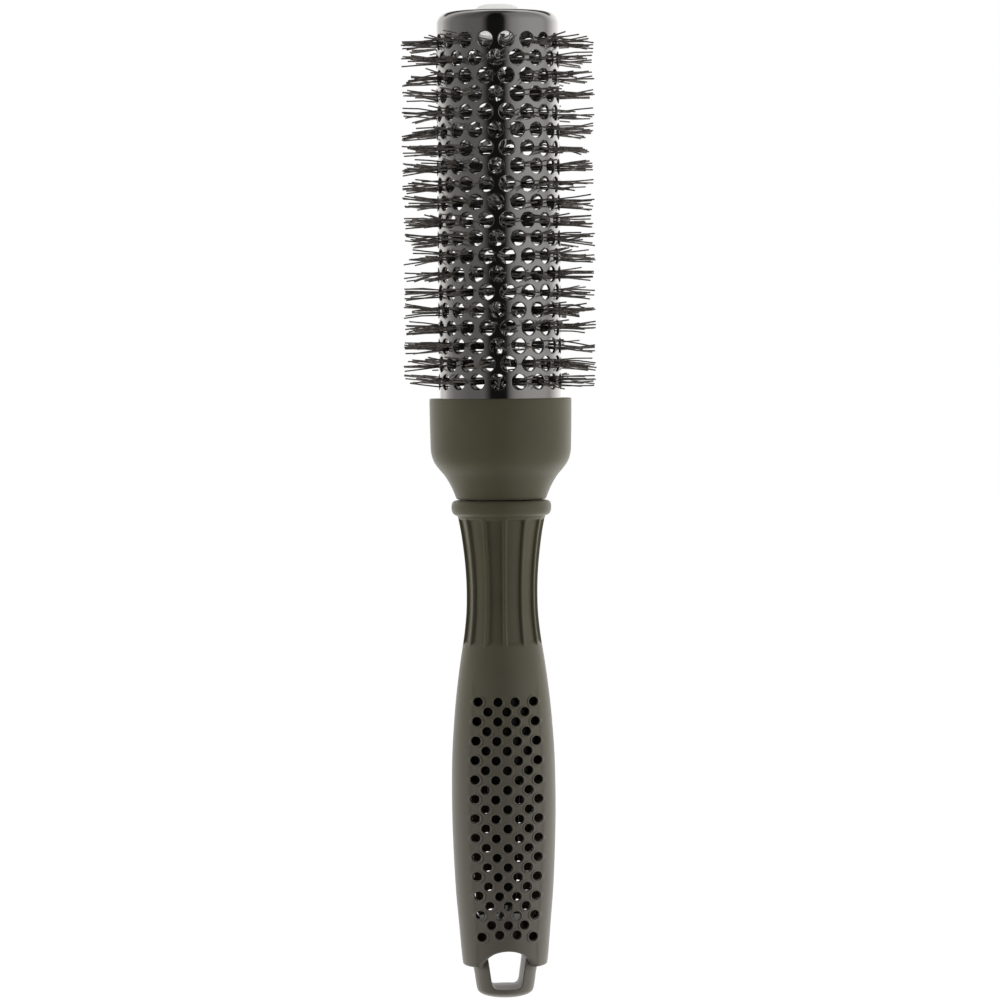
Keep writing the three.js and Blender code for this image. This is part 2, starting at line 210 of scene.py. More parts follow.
class Skin:
    """Collects the vertices and faces of one mesh, given in millimetres."""

    def __init__(self) -> None:
        """Starts empty."""
        self.points: list[Point] = []
        self.faces: list[tuple[int, ...]] = []

    def row(self, points: Iterable[Point]) -> list[int]:
        """Adds a row of vertices and returns their numbers.

        Args:
            points: The vertices, in millimetres.

        Returns:
            Their numbers, in order.
        """
        start = len(self.points)
        self.points.extend(points)
        return list(range(start, len(self.points)))

    def bridge(self, lower: Sequence[int], upper: Sequence[int], closed: bool = True) -> None:
        """Joins two rows of equal length with quads.

        Args:
            lower: The first row.
            upper: The second row.
            closed: True where the rows are rings.
        """
        count = len(lower)
        for i in range(count if closed else count - 1):
            k = (i + 1) % count
            self.faces.append((lower[i], lower[k], upper[k], upper[i]))

    def fan(self, ring: Sequence[int], tip: int) -> None:
        """Joins a ring to one vertex with triangles."""
        for i, a in enumerate(ring):
            self.faces.append((a, ring[(i + 1) % len(ring)], tip))

    def build(self, name: str, crease: float = 35.0) -> bpy.types.Object:
        """Makes the object, with shared vertices welded and faces turned outwards.

        Args:
            name: The piece's name.
            crease: Edges that turn more than this, in degrees, stay sharp.

        Returns:
            The new object, linked to the scene.
        """
        mesh = bpy.data.meshes.new(name)
        mesh.from_pydata([tuple(c * MM for c in p) for p in self.points], [], self.faces)
        work = bmesh.new()
        work.from_mesh(mesh)
        bmesh.ops.remove_doubles(work, verts=work.verts, dist=0.003 * MM)
        bmesh.ops.dissolve_degenerate(work, edges=work.edges, dist=0.001 * MM)
        bmesh.ops.recalc_face_normals(work, faces=work.faces)
        work.to_mesh(mesh)
        work.free()
        piece = bpy.data.objects.new(name, mesh)
        bpy.context.scene.collection.objects.link(piece)
        return smooth(piece, crease)


def smooth(piece: bpy.types.Object, crease: float) -> bpy.types.Object:
    """Shades a piece smooth between edges sharper than crease, with normals led by the larger faces.

    Args:
        piece: The piece.
        crease: The angle in degrees.

    Returns:
        The same piece.
    """
    mesh = piece.data
    mesh.polygons.foreach_set("use_smooth", [True] * len(mesh.polygons))
    mesh.set_sharp_from_angle(angle=math.radians(crease))
    weighted = piece.modifiers.new("face_weighting", "WEIGHTED_NORMAL")
    weighted.keep_sharp = True
    weighted.weight = 80
    return piece


def turned(name: str, outline: Sequence[Spot], segments: int = 96, crease: float = 35.0) -> bpy.types.Object:
    """Makes a solid of revolution about the brush's axis.

    Args:
        name: The piece's name.
        outline: (radius, height) points; it starts and ends on the axis, or closes on itself.
        segments: Divisions round the axis.
        crease: Edges that turn more than this, in degrees, stay sharp.

    Returns:
        The new object.
    """
    skin = Skin()
    rows: list[list[int]] = []
    for radius, z in outline:
        if radius < 1e-6:
            rows.append(skin.row([(0.0, 0.0, z)]))
        else:
            rows.append(skin.row(around(radius, 360 * i / segments, z) for i in range(segments)))
    for lower, upper in zip(rows, rows[1:]):
        if len(lower) == 1 and len(upper) == 1:
            continue
        if len(lower) == 1:
            skin.fan(upper, lower[0])
        elif len(upper) == 1:
            skin.fan(lower, upper[0])
        else:
            skin.bridge(lower, upper)
    return skin.build(name, crease)


def settle(piece: bpy.types.Object) -> None:
    """Applies every modifier on a piece to its mesh.

    Args:
        piece: The piece.
    """
    bpy.context.view_layer.update()
    graph = bpy.context.evaluated_depsgraph_get()
    made = bpy.data.meshes.new_from_object(piece.evaluated_get(graph))
    piece.modifiers.clear()
    piece.data = made


# ------------------------------------------------------------------------------------------ shader maths


class Signal:
    """One number or colour flowing through a node tree; its operators add Math nodes."""

    def __init__(self, tree: "Tree", socket: bpy.types.NodeSocket) -> None:
        """Wraps an output socket of a node tree."""
        self.tree = tree
        self.socket = socket

    def _math(self, operation: str, first: "Signal | float", second: "Signal | float") -> "Signal":
        """Adds one Math node.

        Args:
            operation: Blender's name of the sum.
            first: Its first number.
            second: Its second number.

        Returns:
            The result.
        """
        made = self.tree.node("ShaderNodeMath", {"operation": operation}, {0: first, 1: second})
        return Signal(self.tree, made.outputs[0])

    def __add__(self, other: "Signal | float") -> "Signal":
        """Adds."""
        return self._math("ADD", self, other)

    __radd__ = __add__

    def __mul__(self, other: "Signal | float") -> "Signal":
        """Multiplies."""
        return self._math("MULTIPLY", self, other)

    __rmul__ = __mul__

    def __sub__(self, other: "Signal | float") -> "Signal":
        """Subtracts."""
        return self._math("SUBTRACT", self, other)

    def __rsub__(self, other: "Signal | float") -> "Signal":
        """Subtracts from a number."""
        return self._math("SUBTRACT", other, self)

    def bearing(self, other: "Signal | float") -> "Signal":
        """Gives the angle of the direction (other, self) in radians."""
        return self._math("ARCTAN2", self, other)

    def above(self, level: float, softness: float) -> "Signal":
        """Steps smoothly from 0 to 1.

        Args:
            level: The middle of the step.
            softness: Half of its width.

        Returns:
            The step.
        """
        made = self.tree.node(
            "ShaderNodeMapRange",
            {"interpolation_type": "SMOOTHSTEP"},
            {"Value": self, "From Min": level - softness, "From Max": level + softness},
        )
        return Signal(self.tree, made.outputs["Result"])


class Tree:
    """A node tree that is filled through one method."""

    def __init__(self, owner: bpy.types.ID) -> None:
        """Empties the node tree of a material or world.

        Args:
            owner: The material or world.
        """
        owner.use_nodes = True
        self.tree = owner.node_tree
        self.tree.nodes.clear()

    def node(self, kind: str, settings: dict, inputs: dict) -> bpy.types.Node:
        """Adds a node.

        Args:
            kind: Blender's name of the node's type.
            settings: Attributes, set first; "stops" lists a ramp's (position, grey) pairs.
            inputs: Values or signals of its sockets, by name or number.

        Returns:
            The node.
        """
        made = self.tree.nodes.new(kind)
        for key, value in settings.items():
            if key == "stops":
                ramp = made.color_ramp
                while len(ramp.elements) < len(value):
                    ramp.elements.new(0.5)
                for element, (position, level) in zip(ramp.elements, value):
                    element.position = position
                    element.color = (level, level, level, 1.0)
            else:
                setattr(made, key, value)
        for key, value in inputs.items():
            self.feed(made.inputs[key], value)
        return made

    def feed(self, socket: bpy.types.NodeSocket, value: object) -> None:
        """Sets an input socket.

        Args:
            socket: The socket.
            value: A signal to link to it, or the socket's own value.
        """
        if isinstance(value, Signal):
            self.tree.links.new(value.socket, socket)
        else:
            socket.default_value = value

    def signal(self, node: bpy.types.Node, output: int | str = 0) -> Signal:
        """Wraps one output of a node."""
        return Signal(self, node.outputs[output])


class Shader(Tree):
    """A material's node tree, ending in one Principled shader."""

    def __init__(self, name: str) -> None:
        """Makes the material with its output and its Principled node.

        Args:
            name: The material's name.
        """
        self.material = bpy.data.materials.new(name)
        super().__init__(self.material)
        self.surface = self.node("ShaderNodeBsdfPrincipled", {}, {})
        self.node("ShaderNodeOutputMaterial", {}, {"Surface": self.signal(self.surface)})

    def noise(self, grain: float, detail: float = 3.0, stretch: Point = (1.0, 1.0, 1.0)) -> Signal:
        """Adds noise in the piece's own coordinates.

        Args:
            grain: Size of the grains in millimetres.
            detail: How many finer layers it has.
            stretch: Scale along each axis; less than 1 draws the grains out.

        Returns:
            The noise, about 0.5 on average.
        """
        where = self.signal(self.node("ShaderNodeTexCoord", {}, {}), "Object")
        scaled = self.signal(self.node("ShaderNodeMapping", {}, {"Vector": where, "Scale": stretch}))
        inputs = {"Vector": scaled, "Scale": 1 / (grain * MM), "Detail": detail}
        return self.signal(self.node("ShaderNodeTexNoise", {}, inputs))

    def height(self) -> Signal:
        """Gives the height on the brush in millimetres."""
        where = self.signal(self.node("ShaderNodeTexCoord", {}, {}), "Object")
        return self.signal(self.node("ShaderNodeSeparateXYZ", {}, {0: where}), "Z") * (1 / MM)

    def out_squared(self) -> Signal:
        """Gives the square of the distance from the brush's axis, in square millimetres.

        Returns:
            The square, as a number for each point.
        """
        where = self.signal(self.node("ShaderNodeTexCoord", {}, {}), "Object")
        parts = self.node("ShaderNodeSeparateXYZ", {}, {0: where})
        x, y = (self.signal(parts, axis) * (1 / MM) for axis in "XY")
        return x * x + y * y

    def blend(self, share: Signal | float, first: Sequence[float], second: Sequence[float]) -> Signal:
        """Mixes two colours.

        Args:
            share: 0 for the first colour, 1 for the second.
            first: Red, green and blue.
            second: Red, green and blue.

        Returns:
            The mixed colour.
        """
        inputs = {"Factor": share, 6: self._colour(first), 7: self._colour(second)}
        return self.signal(self.node("ShaderNodeMix", {"data_type": "RGBA"}, inputs), 2)

    def _colour(self, colour: "Sequence[float] | Signal") -> object:
        """Gives a colour as a socket takes it."""
        return colour if isinstance(colour, Signal) else (*colour, 1.0)

    def set(self, **sockets: object) -> None:
        """Sets the Principled shader's sockets, written with _ for spaces."""
        for key, value in sockets.items():
            self.feed(self.surface.inputs[key.replace("_", " ")], value)

    def bump(self, height: Signal, depth: float, strength: float = 1.0) -> None:
        """Raises the surface.

        Args:
            height: Where it is raised, from 0 to 1.
            depth: The full height in millimetres.
            strength: Share of the effect.
        """
        inputs = {"Strength": strength, "Distance": depth * MM, "Height": height}
        self.set(Normal=self.signal(self.node("ShaderNodeBump", {}, inputs)))


@dataclass(frozen=True)
class Room:
    """The light round the brush: white behind it, greys at the sides, a dark strip in front.

    The ring lists (angle from the camera's direction, level); each edge is a step's middle and half width.
    """

    azimuth: float
    ring: tuple[Spot, ...] = (
        (-180, 1.30),
        (-155, 1.30),
        (-147, 0.90),
        (-127, 0.87),
        (-119, 0.62),
        (-112, 0.457),
        (-97, 0.26),
        (-84, 0.23),
        (-60, 0.168),
        (-31, 0.165),
        (-18, 0.010),
        (12, 0.010),
        (17, 0.15),
        (26, 0.32),
        (36, 0.38),
        (46, 0.44),
        (67, 0.48),
        (91, 0.48),
        (105, 0.40),
        (119, 0.72),
        (130, 1.02),
        (148, 1.30),
        (180, 1.30),
    )
    brightest: float = 1.30
    above_white: float = 0.05
    zenith: float = 0.055
    zenith_edge: Spot = (0.955, 0.045)
    behind_edge: Spot = (0.60, 0.05)
    high_edge: Spot = (0.45, 0.05)
    fade_edge: Spot = (0.55, 0.4)
    fade: float = 0.35
    warmth: Point = (1.0, 0.995, 0.985)

    def light(self) -> None:
        """Gives the scene its world."""
        world = bpy.data.worlds.new("studio")
        bpy.context.scene.world = world
        tree = Tree(world)
        where = tree.signal(tree.node("ShaderNodeTexCoord", {}, {}), "Generated")
        parts = tree.node("ShaderNodeSeparateXYZ", {}, {0: where})
        x, y, z = (tree.signal(parts, axis) for axis in "XYZ")
        turn = math.radians(self.azimuth)
        side = x * math.cos(turn) + y * math.sin(turn)
        near = x * math.sin(turn) - y * math.cos(turn)
        share = side.bearing(near) * (0.5 / math.pi) + 0.5
        stops = [(angle / 360 + 0.5, level / self.brightest) for angle, level in self.ring]
        ramp = tree.signal(tree.node("ShaderNodeValToRGB", {"stops": stops}, {0: share}))
        level = ramp * self.brightest
        behind = (0 - near).above(*self.behind_edge)
        high = z.above(*self.high_edge) * behind
        level = level * (1 - z.above(*self.fade_edge) * self.fade)
        level = level * (1 - high) + high * self.above_white
        top = z.above(*self.zenith_edge)
        level = level * (1 - top) + top * self.zenith
        grey = tree.node("ShaderNodeCombineColor", {}, dict(enumerate(level * c for c in self.warmth)))
        room = tree.node("ShaderNodeBackground", {}, {0: tree.signal(grey)})
        white = tree.node("ShaderNodeBackground", {}, {0: (1.0, 1.0, 1.0, 1.0)})
        seen = tree.signal(tree.node("ShaderNodeLightPath", {}, {}), "Is Camera Ray")
        inputs = {0: seen, 1: tree.signal(room), 2: tree.signal(white)}
        both = tree.node("ShaderNodeMixShader", {}, inputs)
        tree.node("ShaderNodeOutputWorld", {}, {0: tree.signal(both)})


# ------------------------------------------------------------------------------------------ finishes


@dataclass(frozen=True)
class DippedTube:
    """Bright dipped aluminium in a gunmetal shade: clear reflections, faint cloudiness and handling haze."""

    slot: Slot = Slot.TUBE
    dark: Point = (0.52, 0.505, 0.49)
    light: Point = (0.56, 0.545, 0.53)
    roughness: float = 0.09
    haze: float = 0.10

    def material(self) -> bpy.types.Material:
        """Makes the material.

        Returns:
            The material, named after its slot.
        """
        shader = Shader(self.slot.value)
        cloud = shader.noise(9.0, 4.0)
        drawn = shader.noise(0.6, 2.0, (1.0, 1.0, 0.06))
        shader.set(
            Base_Color=shader.blend(cloud, self.dark, self.light),
            Metallic=1.0,
            Roughness=self.roughness + cloud * self.haze * drawn,
        )
        shader.bump(drawn, 0.002, 0.15)
        return shader.material


@dataclass(frozen=True)
class SoftTouch:
    """Soft-touch coating: nearly matt, with a fine spray grain and slightly polished patches."""

    slot: Slot
    dark: Point = (0.205, 0.187, 0.118)
    light: Point = (0.240, 0.219, 0.138)
    worn: Point = (0.335, 0.305, 0.270)
    held_below: Spot = (70.0, 45.0)
    held_share: float = 0.8
    roughness: float = 0.44
    sheen: float = 0.12

    def material(self) -> bpy.types.Material:
        """Makes the material.

        Returns:
            The material, named after its slot.
        """
        shader = Shader(self.slot.value)
        patch = shader.noise(14.0, 3.0)
        grain = shader.noise(0.22, 2.0)
        coat = shader.blend(patch.above(0.5, 0.25), self.dark, self.light)
        held = 1 - shader.height().above(*self.held_below)
        shader.set(
            Base_Color=shader.blend(held * self.held_share, coat, self.worn),
            Roughness=self.roughness + (patch - 0.5) * 0.16 + (grain - 0.5) * 0.08,
            Sheen_Weight=self.sheen,
            Sheen_Roughness=0.4,
        )
        shader.bump(grain, 0.012, 0.5)
        return shader.material


@dataclass(frozen=True)
class Filament:
    """Black nylon in its own black inside the barrel, with a painted sheen on the lengths outside it: a
    lighter brownish grey that stands in for light catching the filaments.
    """

    slot: Slot = Slot.BRISTLE
    dark: Point = (0.012, 0.011, 0.010)
    light: Point = (0.130, 0.117, 0.106)
    sheen_painted_dark: Point = (0.130, 0.117, 0.105)
    sheen_painted_light: Point = (0.460, 0.418, 0.380)
    sheen_painted_from: float = 17.0
    sheen_painted_over: float = 40.0
    roughness: float = 0.28

    def material(self) -> bpy.types.Material:
        """Makes the material.

        Returns:
            The material, named after its slot.
        """
        shader = Shader(self.slot.value)
        tint = shader.noise(1.2, 2.0).above(0.5, 0.2)
        drawn = shader.noise(0.12, 1.0)
        # painted sheen: outside the barrel the filaments are painted lighter, standing in for the light that
        # catches them; inside they keep their own black
        outside = shader.out_squared().above(self.sheen_painted_from**2, self.sheen_painted_over)
        bare_tone = shader.blend(tint, self.dark, self.light)
        sheen_painted = shader.blend(tint, self.sheen_painted_dark, self.sheen_painted_light)
        shader.set(
            Base_Color=shader.blend(outside, bare_tone, sheen_painted),
            Roughness=self.roughness + (drawn - 0.5) * 0.2,
        )
        shader.bump(drawn, 0.004, 0.3)
        return shader.material


@dataclass(frozen=True)
class Steel:
    """Bright steel with drawing lines along it."""

    slot: Slot
    dark: Point = (0.72, 0.71, 0.70)
    light: Point = (0.90, 0.89, 0.88)
    roughness: float = 0.12

    def material(self) -> bpy.types.Material:
        """Makes the material.

        Returns:
            The material, named after its slot.
        """
        shader = Shader(self.slot.value)
        lines = shader.noise(0.25, 2.0, (1.0, 1.0, 0.08))
        stain = shader.noise(5.0, 3.0)
        shader.set(
            Base_Color=shader.blend(stain.above(0.45, 0.3), self.dark, self.light),
            Metallic=1.0,
            Roughness=self.roughness + stain * 0.12,
        )
        shader.bump(lines, 0.004, 0.25)
        return shader.material


@dataclass(frozen=True)
class Moulding:
    """Plain moulded plastic with a faint spark-eroded texture; some grades let light through, and these also
    get a painted glow that stands in for the back-light shining through them.
    """

    slot: Slot
    dark: Point
    light: Point
    roughness: float
    milky: float = 0.0
    painted_glow: float = 0.45
    scatter_mm: float = 6.0

    def material(self) -> bpy.types.Material:
        """Makes the material.

        Returns:
            The material, named after its slot.
        """
        shader = Shader(self.slot.value)
        flow = shader.noise(6.0, 3.0)
        grain = shader.noise(0.18, 2.0)
        shader.set(
            Base_Color=shader.blend(flow, self.dark, self.light),
            Roughness=self.roughness + (grain - 0.5) * 0.15,
            Subsurface_Weight=self.milky,
            Subsurface_Scale=self.scatter_mm * MM,
            Subsurface_Radius=(1.0, 1.0, 1.0),
            # painted glow: this emission stands in for light shining through the milky plastic
            Emission_Color=(1.0, 0.995, 0.98, 1.0),
            Emission_Strength=self.painted_glow * self.milky,
        )
        shader.bump(grain, 0.006, 0.4)
        return shader.material


class Paintshop:
    """Keeps one material for each slot and dresses pieces with them."""

    def __init__(self) -> None:
        """Makes every finish once."""
        finishes = [
            DippedTube(),
            Moulding(Slot.CAP, (0.93, 0.93, 0.92), (0.97, 0.97, 0.96), 0.30, 1.0),
            Steel(Slot.STEM),
            Filament(),
            SoftTouch(Slot.CUP),
            SoftTouch(Slot.GRIP),
            Moulding(Slot.CORE, (0.010, 0.010, 0.009), (0.016, 0.016, 0.014), 0.5),
            SoftTouch(Slot.LOOP),
            Steel(Slot.PICK, roughness=0.12),
        ]
        self.materials = {f.slot: f.material() for f in finishes}

    def dress(self, piece: bpy.types.Object, slot: Slot, body: Body, *nodes: str) -> None:
        """Gives a piece its finish, its body and the CAD nodes that it stands for.

        Args:
            piece: The new piece.
            slot: Its finish.
            body: The body it moves with.
            nodes: The CAD nodes it replaces.
        """
        piece.data.materials.clear()
        piece.data.materials.append(self.materials[slot])
        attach(piece, body.value)
        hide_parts(*nodes)
        LOG.info("%s: %d faces on %s", piece.name, len(piece.data.polygons), body.value)


# ------------------------------------------------------------------------------------------ barrel


@dataclass
class HoleRows:
    """Where the barrel's holes are: staggered rows, the top row first."""

    rows: int = 20
    per_row: int = 18
    radius: float = 2.05
    top_row_z: float = 248.1
    pitch: float = 4.62
    starts: Spot = (3.6, -6.4)

    def height(self, row: int) -> float:
        """Gives a row's height."""
        return self.top_row_z - row * self.pitch

    def angles(self, row: int) -> list[float]:
        """Lists the angles of a row's holes."""
        return [self.starts[row % 2] + 360 * k / self.per_row for k in range(self.per_row)]


@dataclass
class Barrel:
    """The drawn tube: perforated wall, rolled-over shoulder and mouth."""

    holes: HoleRows
    wall: float = 0.8
    shoulder_start: float = 252.9
    corner: Spot = (3.0, 3.1)
    mouth_radius: float = 7.0
    corner_turn: float = 84.0
    corner_steps: int = 20
    edge_points: int = 4
    roll: float = 0.25
    plunge: Spot = (0.34, 0.10)
    radius: float = field(init=False)
    bottom: float = field(init=False)
    top: float = field(init=False)

    def __post_init__(self) -> None:
        """Reads the tube's size from the frame."""
        self.radius, self.bottom, self.top = node_size("barrel")

    def cell(self) -> list[Spot]:
        """Draws the six-sided cell round one hole, unrolled, as (along, up) points from its centre.

        Its edges lie half way to the six neighbouring holes, so cells meet point to point.

        Returns:
            The cell's points, in order round it.
        """
        half = math.pi * self.radius / self.holes.per_row
        tip, side = self._ends()
        corners = [(half, -side), (half, side), (0.0, tip), (-half, side), (-half, -side), (0.0, -tip)]
        points = []
        for (u0, v0), (u1, v1) in zip(corners, corners[1:] + corners[:1]):
            for i in range(self.edge_points):
                t = i / self.edge_points
                points.append((u0 + (u1 - u0) * t, v0 + (v1 - v0) * t))
        return points

    def build(self) -> bpy.types.Object:
        """Builds the tube.

        Returns:
            The tube.
        """
        skin = Skin()
        self._perforate(skin)
        self._close(skin)
        return skin.build("barrel_tube", 50.0)

    def _perforate(self, skin: Skin) -> None:
        """Adds the wall round every hole, with its punched edge rolled on both sides.

        Args:
            skin: The mesh.
        """
        cell = self.cell()
        hole = self.holes.radius
        land, root = self.plunge
        profile = [
            (hole + land, 0.0),
            (hole + 0.16, 0.0),
            (hole + 0.10, 0.01),
            (hole + 0.03, 0.05),
            (hole, 0.12),
            (hole, self.wall - root),
            (hole + 0.08, self.wall),
        ]
        for row in range(self.holes.rows):
            for angle in self.holes.angles(row):
                z = self.holes.height(row)
                rings = [self._ring(skin, angle, z, cell, 0.0)]
                for reach, depth in profile:
                    spots = [(u * reach / math.hypot(u, v), v * reach / math.hypot(u, v)) for u, v in cell]
                    rings.append(self._ring(skin, angle, z, spots, depth))
                rings.append(self._ring(skin, angle, z, cell, self.wall))
                for outer, inner in zip(rings, rings[1:]):
                    skin.bridge(outer, inner)

    def _ring(self, skin: Skin, angle: float, z: float, spots: Sequence[Spot], depth: float) -> list[int]:
        """Adds a closed row of vertices given unrolled about a hole's centre, at a depth in the wall.

        Args:
            skin: The mesh.
            angle: The hole's angle.
            z: The hole's height.
            spots: (along, up) points from its centre.
            depth: Depth below the outer surface.

        Returns:
            The ring.
        """
        turn = 180 / (math.pi * self.radius)
        return skin.row(around(self.radius - depth, angle + u * turn, z + v) for u, v in spots)

    def _ends(self) -> tuple[float, float]:
        """Gives how far a cell reaches along the axis, at its points and at its sides.

        Returns:
            Reach at the points and reach at the sides.
        """
        half = math.pi * self.radius / self.holes.per_row
        pitch = self.holes.pitch
        reach = (half**2 + pitch**2) / 2
        return reach / pitch, (reach - half**2) / pitch

    def _zigzag(self, skin: Skin, row: int, sign: int, radius: float) -> list[int]:
        """Adds the ring that follows the free ends of one row's cells.

        Args:
            skin: The mesh.
            row: The row of holes.
            sign: 1 for the cells' upper ends, -1 for the lower ones.
            radius: The ring's radius.

        Returns:
            The ring.
        """
        tip, side = self._ends()
        period = 2 * self.edge_points
        columns = self.holes.per_row * period
        start = self.holes.starts[row % 2]
        points = []
        for i in range(columns):
            away = i % period / self.edge_points
            share = min(away, 2 - away)
            z = self.holes.height(row) + sign * (tip + (side - tip) * share)
            points.append(around(radius, start + 360 * i / columns, z))
        return skin.row(points)

    def _close(self, skin: Skin) -> None:
        """Adds the plain foot, the shoulder and the mouth, joined to the edge of the outermost cells.

        Args:
            skin: The mesh.
        """
        columns = self.holes.per_row * 2 * self.edge_points
        last = self.holes.rows - 1
        inner = self.radius - self.wall
        width, height = self.corner
        centre = (self.radius - width, self.shoulder_start)
        shoulder = arc(centre, (width, height), 0, self.corner_turn, self.corner_steps)
        shoulder += [(self.mouth_radius + self.roll, self.top), (self.mouth_radius, self.top - self.roll)]
        shoulder += [(self.mouth_radius, self.top - self.wall + self.roll)]
        inside = (width - self.wall, height - self.wall)
        shoulder += arc(centre, inside, self.corner_turn, 0, self.corner_steps)
        foot = [(self.radius, self.bottom), (inner, self.bottom)]
        for row, sign, outline in ((0, 1, shoulder), (last, -1, foot)):
            start = self.holes.starts[row % 2]
            rings = [self._zigzag(skin, row, sign, self.radius)]
            for r, z in outline:
                rings.append(skin.row(around(r, start + 360 * i / columns, z) for i in range(columns)))
            rings.append(self._zigzag(skin, row, sign, inner))
            for lower, upper in zip(rings, rings[1:]):
                skin.bridge(lower, upper)


@dataclass
class EndCap:
    """The domed cap in the barrel's mouth."""

    flat_radius: float = 3.5
    button_radius: float = 6.7
    lip_z: float = 255.3
    lip: float = 1.0
    button_wall: float = 0.9
    hub: float = 4.6
    bore: float = 3.0
    bore_top: float = 253.3
    neck_drop: float = 1.6
    edge: float = 0.3
    steps: int = 8

    def build(self) -> bpy.types.Object:
        """Builds the cap, with the hub that centres the stem's end.

        Returns:
            The cap.
        """
        lip_radius, bottom, top = node_size("end_cap")
        hub, bore, edge, start = self.hub, self.bore, self.edge, self.lip_z + self.button_wall
        dome = Curve([(0.0, 0.0), (0.9, 0.62), (1.0, 1.0)])
        crown = []
        for i in range(self.steps + 1):
            t = i / self.steps
            radius = self.button_radius - (self.button_radius - self.flat_radius) * t
            crown.append((radius, start + (top - start) * dome(t)))
        outline = [(0.0, self.bore_top), (bore, self.bore_top), (bore, bottom + edge), (bore + edge, bottom)]
        outline += [(hub - edge, bottom), (hub, bottom + edge), (hub, self.lip_z - self.neck_drop)]
        outline += [(lip_radius, self.lip_z - self.lip), (lip_radius, self.lip_z)]
        outline += [(self.button_radius, self.lip_z), *crown, (0.0, top)]
        return turned("end_cap_button", outline, 72, 40.0)


# ------------------------------------------------------------------------------------------ bristles


@dataclass
class Stem:
    """Two steel wires twisted left-handed, which pinch the filaments."""

    wire_radius: float = 0.75
    offset: float = 1.35
    lead: float = 11.0
    sides: int = 12
    steps_per_turn: int = 24

    def build(self, node: str, start: float) -> bpy.types.Object:
        """Builds one wire.

        Args:
            node: The CAD node that it stands for.
            start: Its angle in degrees from +X at the bottom.

        Returns:
            The wire.
        """
        _, low, high = node_size(node)
        low, high = low + self.wire_radius, high - self.wire_radius
        count = round(self.steps_per_turn * (high - low) / self.lead)
        skin = Skin()
        rings = []
        for i in range(count + 1):
            z = low + (high - low) * i / count
            turn = math.radians(start) - 2 * math.pi * (z - low) / self.lead
            out = Vector((math.cos(turn), math.sin(turn), 0.0))
            along = Vector((math.sin(turn), -math.cos(turn), 0.0)) * self.offset * 2 * math.pi / self.lead
            along = (along + Vector((0.0, 0.0, 1.0))).normalized()
            across = along.cross(out)
            centre = out * self.offset + Vector((0.0, 0.0, z))
            ring = []
            for k in range(self.sides):
                a = 2 * math.pi * k / self.sides
                spot = centre + (out * math.cos(a) + across * math.sin(a)) * self.wire_radius
                ring.append((spot.x, spot.y, spot.z))
            rings.append(skin.row(ring))
        for lower, upper in zip(rings, rings[1:]):
            skin.bridge(lower, upper)
        for end in (rings[0], rings[-1]):
            middle = sum((Vector(skin.points[v]) for v in end), Vector()) / len(end)
            skin.fan(end, skin.row([tuple(middle)])[0])
        return skin.build(f"{node}_strand")


